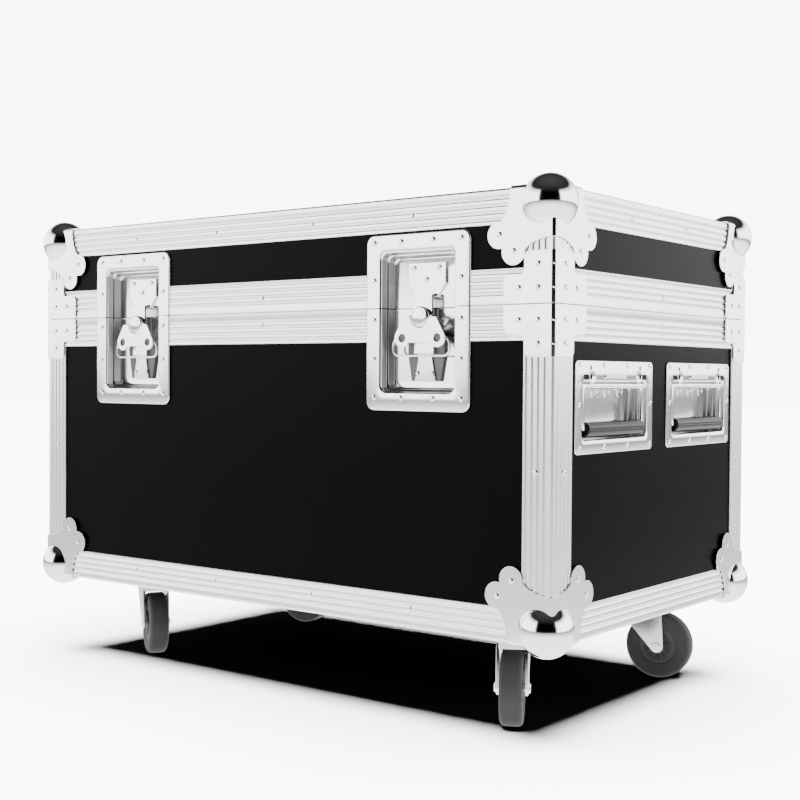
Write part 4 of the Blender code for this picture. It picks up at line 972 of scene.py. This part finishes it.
def add_grip(shape, where, half, radius):
    """A moulded grip with long flutes, its length along where's X."""
    steps, flutes, flute_depth = 64, 8, 0.0003
    rings = []
    for along, share in ((-half, 0.30), (-half, 0.86), (-half + 0.0012, 1.0), (half - 0.0012, 1.0), (half, 0.86)):
        ring = []
        for step in range(steps):
            angle = 2 * math.pi * step / steps
            groove = max(0.0, math.cos(angle * flutes)) ** 4
            reach = radius * share - flute_depth * groove * (share == 1.0)
            ring.append(where @ Vector((along, reach * math.cos(angle), reach * math.sin(angle))))
        rings.append(ring)
    loft(shape, rings)


def build_stampings(node, where, end):
    """A strip with dimples across the back of the pocket, the spring bar over its mouth and two pivot bosses."""
    pocket_top = HANDLE_HALF_HIGH - 0.021
    shape = bmesh.new()
    add_plate(shape, rounded(0.0560, pocket_top - 0.0165, pocket_top - 0.0010, 0.0015, 4), 0.0014,
              behind(where, 0.0196))
    add_plate(shape, rounded(0.0210, 0.0278, 0.0312, 0.0012, 4), 0.0022, moved(where, 0.002 * -end, 0, -0.0006))
    for u in (-0.0400, -0.0130, 0.0130, 0.0400):
        add_turned(shape, [(0.0068, -0.0004), (0.0068, 0.0002), (0.0058, 0.0009), (0.0048, 0.0002),
                           (0.0022, 0.0002), (0.0016, 0.0010)], moved(where, u, pocket_top - 0.0088, -0.0183), 32)
    for u in (-0.0478, 0.0478):
        add_turned(shape, [(0.0072, 0.0), (0.0070, 0.0010), (0.0060, 0.0014), (0.0048, 0.0010)],
                   moved(where, u, 0.0300, -0.0008), 32)
    place_shape(shape, f"{node}_stampings", ZINC, "base", [f"{node}_dish"], "dish_steel", bevel=0.0003)


def build_painted_slot_shade(node, where):
    """Near-black plates beside the bosses stand for punched slots: they paint the shade of the slots' inside."""
    shape = bmesh.new()
    for side in (-1, 1):
        for u, slot in ((0.0505, rounded(0.0012, 0.0355, 0.0405, 0.0010, 4)),
                        (0.0560, rounded(0.0080, 0.0268, 0.0318, 0.0012, 4))):
            add_plate(shape, slot, 0.0006, moved(where, side * u, 0, -0.0003))
    # painted shade: thin near-black plates in place of the slots' shaded inside
    place_shape(shape, f"{node}_punched_slots", HOLE_SHADE, "base", [f"{node}_dish"], "dish_steel")


def build_bail(node, where, place):
    """The bent wire with its two pivots, and the grip along its lower run."""
    low, high = (Vector(corner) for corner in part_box(f"{node}_bail"))
    bail = f"{node}_bail"
    depth = -abs(place.x - (low.x + high.x) / 2)
    pivot = high.z - BAIL_WIRE - place.z
    grip = low.z + GRIP_RADIUS - place.z
    half, corner, bend = 0.0605, 0.0050, 0.0070
    loop = (arc((half - corner, pivot - corner), corner, 0, 90, 6)
            + arc((-half + corner, pivot - corner), corner, 90, 180, 6)
            + arc((-half + bend, grip + bend), bend, 180, 270, 6)
            + arc((half - bend, grip + bend), bend, 270, 360, 6))
    path = [where @ Vector((u, v, depth)) for u, v in loop]
    mesh = run_tree(path, {}, WIRES, {"Radius": BAIL_WIRE, "Finish": POLISHED}, f"{node}_wire", joined="closed")
    place_piece(mesh, f"{node}_wire", None, bail, [bail], "bail", smooth=60)
    shape = bmesh.new()
    for side in (-1, 1):
        add_bar(shape, where @ Vector((side * (half - corner), pivot, depth)),
                where @ Vector((side * 0.0672, pivot, depth)), 0.0029, 24)
    place_shape(shape, f"{node}_pivots", POLISHED, bail, [bail], "bail")
    shape = bmesh.new()
    add_grip(shape, moved(where, 0, grip, depth), half - 0.0025, GRIP_RADIUS)
    place_shape(shape, f"{node}_grip", GRIP, bail, [bail], "bail", smooth=25)


def build_handle(hand, row):
    node = f"handle_{hand}_{row}"
    low, high = (Vector(corner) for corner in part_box(f"{node}_dish"))
    end = 1 if hand == "right" else -1
    place = Vector((high.x if end > 0 else low.x, (low.y + high.y) / 2, (low.z + high.z) / 2))
    where = facing(place, (0, end, 0), (0, 0, 1))
    shape = bmesh.new()
    add_rings(shape, handle_outline, HANDLE_RINGS, where)
    pressing = place_shape(shape, f"{node}_pressing", DISH, "base", [f"{node}_dish"], "dish_steel", smooth=50)
    # painted shade on the deep pocket walls
    paint_pocket_shade(pressing, where, 0.004)
    spots = [(where @ Vector((u, v, 0)), (end, 0, 0)) for u, v in HANDLE_RIVETS]
    rivets(f"{node}_rivets", spots, "base", [f"{node}_dish"], "dish_steel", rise=0.0013)
    build_stampings(node, where, end)
    build_painted_slot_shade(node, where)
    build_bail(node, where, place)


# ---- castors ------------------------------------------------------------------------------------------
TRAIL = 0.032
AXLE_HEIGHT = 0.0375
CROWN_TOP = 0.086
MOUNT_UNDER = 0.0938                     # underside of the mounting plate
FORK_SHEET = 0.0028
FORK_INNER = 0.0129                      # each leg's inner face, from the wheel's middle
BRAKE_PIVOT = (0.0350, 0.0893)           # along the trail, and above the floor
BRAKE_REACH = 0.0088                     # half the pedal's width


def castor_place(name):
    """The castor's own frame: its swivel axis is Z and its wheel trails along +X."""
    low, high = (Vector(corner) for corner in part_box(f"castor_{name}_plate"))
    wheel_low, wheel_high = (Vector(corner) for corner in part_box(f"castor_{name}_wheel"))
    axis = (low + high) / 2
    wheel = (wheel_low + wheel_high) / 2
    heading = math.atan2(wheel.y - axis.y, wheel.x - axis.x)
    return Matrix.Translation((axis.x, axis.y, 0)) @ Matrix.Rotation(heading, 4, "Z"), axis


def add_leg(shape, where, hand):
    """One tapered fork leg with a raised ridge down its front edge."""
    side = moved(where, 0, hand * FORK_INNER, 0) @ ON_SIDE
    if hand > 0:
        side = behind(side, FORK_SHEET)
    top = CROWN_TOP - 0.0015
    axle = (TRAIL, AXLE_HEIGHT)
    leg = ([(-0.0150, top), (-0.0168, top - 0.004)] + arc(axle, 0.0075, -135, 8, 12)
           + [(0.0372, top - 0.004), (0.0362, top)])
    add_plate(shape, leg, FORK_SHEET, side)
    ridge = [(0.0285, top - 0.006)] + arc(axle, 0.0052, -170, 0, 10) + [(0.0345, top - 0.006)]
    add_plate(shape, ridge, 0.0010, moved(side, 0, 0, 0.0025 if hand < 0 else -0.0007))


def build_mount(node, rising):
    """The mounting plate with its bearing ring, and its four bolts."""
    plate = [f"{node}_plate"]
    shape = bmesh.new()
    add_plate(shape, rounded(0.038, -0.030, 0.030, 0.0075), 0.0030, moved(rising, 0, 0, MOUNT_UNDER))
    add_turned(shape, [(0.0150, 0.0863), (0.0185, 0.0865), (0.0200, 0.0880), (0.0212, 0.0905),
                       (0.0225, MOUNT_UNDER)], rising)
    place_shape(shape, f"{node}_mount", ZINC, "base", plate, "castor_steel", bevel=0.0005)
    bolts = [(rising @ Vector((u, v, MOUNT_UNDER)), (0, 0, -1)) for u in (-0.030, 0.030) for v in (-0.022, 0.022)]
    rivets(f"{node}_bolts", bolts, "base", plate, "castor_steel", radius=0.0055, rise=0.0030)


def build_fork(name, node, where):
    """The fork: its crown, two legs with their axle, and a front lip or the ears of a brake."""
    shape = bmesh.new()
    deck = ([(0.0375, -0.0135), (0.0375, 0.0135), (0.0355, 0.0155)] + arc((0, 0), 0.0225, 50, 310, 24)
            + [(0.0355, -0.0155)])
    add_plate(shape, deck, FORK_SHEET, moved(where, 0, 0, CROWN_TOP - 0.0040))
    add_turned(shape, [(0.0225, CROWN_TOP - 0.0036), (0.0225, CROWN_TOP - 0.0016), (0.0215, CROWN_TOP - 0.0004),
                       (0.0190, CROWN_TOP - 0.0001)], where)
    for hand in (-1, 1):
        add_leg(shape, where, hand)
        nut = moved(where, TRAIL, hand * 0.0160, AXLE_HEIGHT) @ Matrix.Rotation(math.radians(-90 * hand), 4, "X")
        add_turned(shape, [(0.0052, -0.0006), (0.0052, 0.0014), (0.0042, 0.0021)], nut, 6 if hand < 0 else 32)
    add_bar(shape, where @ Vector((TRAIL, -0.0140, AXLE_HEIGHT)), where @ Vector((TRAIL, 0.0140, AXLE_HEIGHT)),
            0.0039, 32)
    add_bar(shape, where @ Vector((0, 0, 0.0830)), where @ Vector((0, 0, 0.0930)), 0.0049, 32)
    if name.startswith("front"):
        half, low, high = 0.0135, 0.0772, CROWN_TOP - 0.0014
        front = moved(where, 0.0373, 0, 0) @ Matrix.Rotation(math.radians(90), 4, "Z") @ ON_SIDE
        add_plate(shape, [(-half, low), (half, low), (half, high), (-half, high)], 0.0020, front)
    else:
        ear = [(-0.0030, -0.0050), (0.0030, -0.0050)] + arc((0, 0), 0.0030, 0, 180, 12)
        for hand in (-1, 1):
            upright = moved(where, BRAKE_PIVOT[0], hand * 0.0093, BRAKE_PIVOT[1]) @ ON_SIDE
            add_plate(shape, ear, FORK_SHEET, behind(upright, FORK_SHEET) if hand > 0 else upright)
    place_shape(shape, f"{node}_forging", ZINC, f"{node}_fork", [f"{node}_fork"], "castor_steel", smooth=35,
                bevel=0.0005)


def build_wheel(node, where):
    """The tyre, its hub and the hub's spokes, turned about where's Z axis."""
    half, shoulder = 0.0115, 0.0050
    wheel = f"{node}_wheel"
    tyre = [(0.0198, half - 0.0016), (0.0212, half - 0.0006), (0.0225, half - 0.0004), (0.0300, half),
            (0.0318, half - 0.0003)]
    for degrees in (15, 35, 55, 75, 90):
        turn = math.radians(degrees)
        tyre.append((0.0325 + shoulder * math.sin(turn), half - shoulder + shoulder * math.cos(turn)))
    hub = [(0.0044, half - 0.0006), (0.0085, half - 0.0006), (0.0090, half - 0.0012), (0.0092, half - 0.0050),
           (0.0150, half - 0.0052), (0.0155, half - 0.0018), (0.0165, half - 0.0012), (0.0203, half - 0.0012)]
    for kind, side, material, segments, smooth in (("tyre", tyre, RUBBER, 96, 45), ("hub", hub, HUB, 64, 40)):
        shape = bmesh.new()
        add_turned(shape, side + [(reach, -along) for reach, along in reversed(side)], where, segments)
        place_shape(shape, f"{node}_{kind}", material, wheel, [wheel], "tyre", smooth=smooth)
    spokes = run_tree([(0, 0, 0)], {}, SPOKES, {"Count": 10, "Inner": 0.0122, "Size": (0.0080, 0.0016, 0.0206),
                                                "Finish": HUB}, f"{node}_spokes")
    spokes.transform(where)
    place_piece(spokes, f"{node}_spokes", None, wheel, [wheel], "tyre", smooth=30)


def build_brake(node, where):
    """The foot pedal: a thin tread with a turned-up tip between two cheeks, on its pivot."""
    pivot = moved(where, BRAKE_PIVOT[0], 0, BRAKE_PIVOT[1])
    side = pivot @ ON_SIDE
    tread_sheet, cheek_sheet = 0.0014, 0.0016
    line = [(0.0, 0.0011), (0.0120, -0.0008), (0.0215, -0.0020), (0.0300, -0.0020), (0.0362, 0.0002)]
    cheek = [(-0.0024, -0.0016), (0.0042, -0.0026), (0.0105, -0.0070), (0.0135, -0.0060), (0.0135, -0.0012),
             (0.0, 0.0026)]
    shape = bmesh.new()
    add_plate(shape, line + [(u, v - tread_sheet) for u, v in reversed(line)], 2 * BRAKE_REACH,
              behind(side, BRAKE_REACH))
    for low in (-BRAKE_REACH, BRAKE_REACH - cheek_sheet):
        add_plate(shape, cheek, cheek_sheet, moved(side, 0, 0, low))
    add_bar(shape, pivot @ Vector((0, -0.0090, 0)), pivot @ Vector((0, 0.0090, 0)), 0.0029, 32)
    place_shape(shape, f"{node}_pedal", ZINC_DARK, f"{node}_brake", [f"{node}_brake"], "castor_steel",
                bevel=0.0003)


def build_castor(name):
    where, axis = castor_place(name)
    node = f"castor_{name}"
    build_mount(node, Matrix.Translation((axis.x, axis.y, 0)))
    build_fork(name, node, where)
    build_wheel(node, moved(where, TRAIL, 0, AXLE_HEIGHT) @ ON_SIDE)
    if name.startswith("back"):
        build_brake(node, where)


# ---- hinge --------------------------------------------------------------------------------------------
KNUCKLES = 9
HINGE_SCREWS = 12


def build_hinge():
    low, high = (Vector(corner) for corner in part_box("hinge_leaf_base"))
    pin_radius, knuckle, leaf, sheet = 0.0022, 0.0042, 0.0240, 0.0015
    face, pin_y, half = HALF_Y + GAP, high.y - knuckle, high.x
    pitch = 2 * half / KNUCKLES
    for body, sign in (("base", -1), ("lid", 1)):
        shape = bmesh.new()
        first = 1 if body == "base" else 0   # the leaves' knuckles take turns along the pin
        outline = rounded(half, 0.0050, leaf, 0.0030)
        flat = facing((0, face, SEAM), (-1, 0, 0), (0, 0, 1))
        if sign < 0:
            outline = [(u, -v) for u, v in reversed(outline)]
        add_plate(shape, outline, sheet, flat)
        for number in range(first, KNUCKLES, 2):
            start, stop = -half + number * pitch + 0.0004, -half + (number + 1) * pitch - 0.0004
            add_bar(shape, (start, pin_y, SEAM), (stop, pin_y, SEAM), knuckle, 32)
            reach = sorted((SEAM + sign * 0.0008, SEAM + sign * 0.0056))
            add_box(shape, (start, face, reach[0]), (stop, face + sheet + 0.0008, reach[1]))
        if body == "base":
            add_bar(shape, (-half, pin_y, SEAM), (half, pin_y, SEAM), pin_radius, 24)
        place_shape(shape, f"hinge_{body}_leaf", ZINC, body, [f"hinge_leaf_{body}"], "hinge_steel",
                    bevel=0.0003)
        spots = [((-half + 2 * half * (index + 0.5) / HINGE_SCREWS, face + sheet, SEAM + sign * 0.0155),
                  (0, 1, 0)) for index in range(HINGE_SCREWS)]
        rivets(f"hinge_{body}_screws", spots, body, [f"hinge_leaf_{body}"], "hinge_steel", rise=0.0010)


# ---- stage, light and camera --------------------------------------------------------------------------
def build_stage():
    mesh = bpy.data.meshes.new("floor")
    reach = 14.0
    mesh.from_pydata([(-reach, -reach, 0), (reach, -reach, 0), (reach, reach, 0), (-reach, reach, 0)], [],
                     [(0, 1, 2, 3)])
    floor = linked("floor", mesh)
    made = bpy.data.materials.new("pale floor")
    made.use_nodes = True
    shader = made.node_tree.nodes["Principled BSDF"]
    shader.inputs["Base Color"].default_value = (FLOOR_TONE, FLOOR_TONE, FLOOR_TONE, 1)
    shader.inputs["Roughness"].default_value = 1.0
    shader.inputs["Specular IOR Level"].default_value = 0.0
    mesh.materials.append(made)
    floor.visible_glossy = False


def build_world():
    """A studio seen only in reflections: bright sides, a dark card ahead, a dark ceiling and a pale floor."""
    world = bpy.data.worlds.new("studio")
    bpy.context.scene.world = world
    world.use_nodes = True
    tree = world.node_tree
    tree.nodes.clear()
    way = add_node(tree, "ShaderNodeTexCoord").outputs["Generated"]
    split = add_node(tree, "ShaderNodeSeparateXYZ", {0: way})
    towards = math_node(tree, "MULTIPLY", split.outputs["Y"], -1.0)
    azimuth = math_node(tree, "ARCTAN2", split.outputs["X"], towards)
    turned = math_node(tree, "SUBTRACT", azimuth, math.radians(CAMERA_AZIMUTH - CARD_TURN))
    wrapped = math_node(tree, "PINGPONG", turned, math.pi)
    side = ramp(tree, wrapped, CARD_SIDES, math.pi)
    height = ramp(tree, split.outputs["Z"], CARD_HEIGHT, 1.0)
    ceiling = ramp(tree, split.outputs["Z"], CEILING, 1.0)
    above = math_node(tree, "ADD", math_node(tree, "MULTIPLY", side, height), ceiling)
    below = ramp(tree, math_node(tree, "MULTIPLY", split.outputs["Z"], -1.0), FLOOR_IN_REFLECTIONS, 1.0)
    is_above = math_node(tree, "GREATER_THAN", split.outputs["Z"], 0.0)
    upper = math_node(tree, "MULTIPLY", above, is_above)
    lower = math_node(tree, "MULTIPLY", below, math_node(tree, "SUBTRACT", 1.0, is_above))
    total = math_node(tree, "MULTIPLY", math_node(tree, "ADD", upper, lower), STUDIO_LEVEL)
    path = add_node(tree, "ShaderNodeLightPath").outputs
    hidden = math_node(tree, "MULTIPLY", path["Is Diffuse Ray"], 1.0 - DIFFUSE_SHARE)
    strength = math_node(tree, "MULTIPLY", total, math_node(tree, "SUBTRACT", 1.0, hidden))
    studio = add_node(tree, "ShaderNodeBackground", {"Strength": strength})
    plain = add_node(tree, "ShaderNodeBackground", {"Strength": BACKDROP_LEVEL})
    mix = add_node(tree, "ShaderNodeMixShader", {"Fac": path["Is Camera Ray"], 1: studio.outputs[0],
                                                 2: plain.outputs[0]})
    add_node(tree, "ShaderNodeOutputWorld", {"Surface": mix.outputs[0]})


def ramp(tree, value, stops, full):
    """A value that follows straight lines between (place, level) stops."""
    share = add_node(tree, "ShaderNodeMapRange", {"Value": value, "From Max": full})
    bar = add_node(tree, "ShaderNodeValToRGB", {"Fac": share.outputs["Result"]})
    elements = bar.color_ramp.elements
    for index, (place, level) in enumerate(stops):
        item = elements[index] if index < 2 else elements.new(min(place / full, 1.0))
        item.position = min(place / full, 1.0)
        item.color = (level, level, level, 1)
    return bar.outputs["Color"]


CAMERA_AZIMUTH = 37.593
CARD_TURN = 8.5                           # the dark card stands this far round from the camera
STUDIO_LEVEL = 6.0
FLOOR_TONE = 0.012
FLOOR_LIGHT = 2750.0
SHADOW_SOFTNESS = 58.0
BACKDROP_LEVEL = 10.6
DIFFUSE_SHARE = 0.008                     # how much of the studio lights matt surfaces
CARD_SIDES = ((0.0, 0.0), (0.70, 0.0), (0.86, 1.0), (2.35, 1.0), (2.70, 0.30), (3.15, 0.22))
CARD_HEIGHT = ((0.0, 1.0), (0.44, 1.0), (0.66, 0.0), (1.0, 0.0))
CEILING = ((0.0, 0.0), (0.50, 0.0), (0.72, 0.006), (1.0, 0.016))
FLOOR_IN_REFLECTIONS = ((0.0, 0.04), (0.05, 0.12), (0.14, 0.30), (0.32, 0.62), (0.6, 0.72), (1.0, 0.75))


def build_camera():
    data = bpy.data.cameras.new("camera")
    data.lens = 59.37
    data.sensor_width = 36.0
    camera = linked("camera", data)
    yaw, pitch, roll = math.radians(CAMERA_AZIMUTH), math.radians(1.064), 0.0065
    forward = Vector((-math.sin(yaw) * math.cos(pitch), math.cos(yaw) * math.cos(pitch), -math.sin(pitch)))
    right = Vector((math.cos(yaw), math.sin(yaw), 0))
    above = right.cross(forward)
    level = right
    right = level * math.cos(roll) + above * math.sin(roll)
    above = above * math.cos(roll) - level * math.sin(roll)
    turn = Matrix((right, above, -forward)).transposed().to_4x4()
    camera.matrix_world = Matrix.Translation((0.9965, -1.2620, 0.3475)) @ turn
    bpy.context.scene.camera = camera


def build_lights():
    for name, power in (("overhead", 12.0), ("floor light", FLOOR_LIGHT)):
        data = bpy.data.lights.new(name, "SUN")
        data.energy = power
        data.angle = math.radians(SHADOW_SOFTNESS)
        lamp = linked(name, data)
        lamp.visible_glossy = False
    only_floor = bpy.data.collections.new("lit by the floor light")
    only_floor.objects.link(bpy.data.objects["floor"])
    lamp.light_linking.receiver_collection = only_floor


build_camera()
build_world()
build_stage()
build_lights()

# ---- carried-over panels ------------------------------------------------------------------------------
for node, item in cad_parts.items():
    item.data.materials.clear()
    if node.endswith(("left_panel", "right_panel")):
        item.data.materials.append(LAMINATE_END)
    elif node.endswith("_panel"):
        item.data.materials.append(LAMINATE)
    elif node.endswith("_wheel"):
        item.data.materials.append(RUBBER)
    elif node.endswith("_dish"):
        item.data.materials.append(DISH)
    else:
        item.data.materials.append(ZINC)

build_extrusions()
build_braces()
build_corners()
build_case_rivets()
for side_of_case in ("left", "right"):
    build_latch(side_of_case)
    for row_of_case in ("front", "back"):
        build_handle(side_of_case, row_of_case)
for castor in ("front_right", "front_left", "back_right", "back_left"):
    build_castor(castor)
build_hinge()
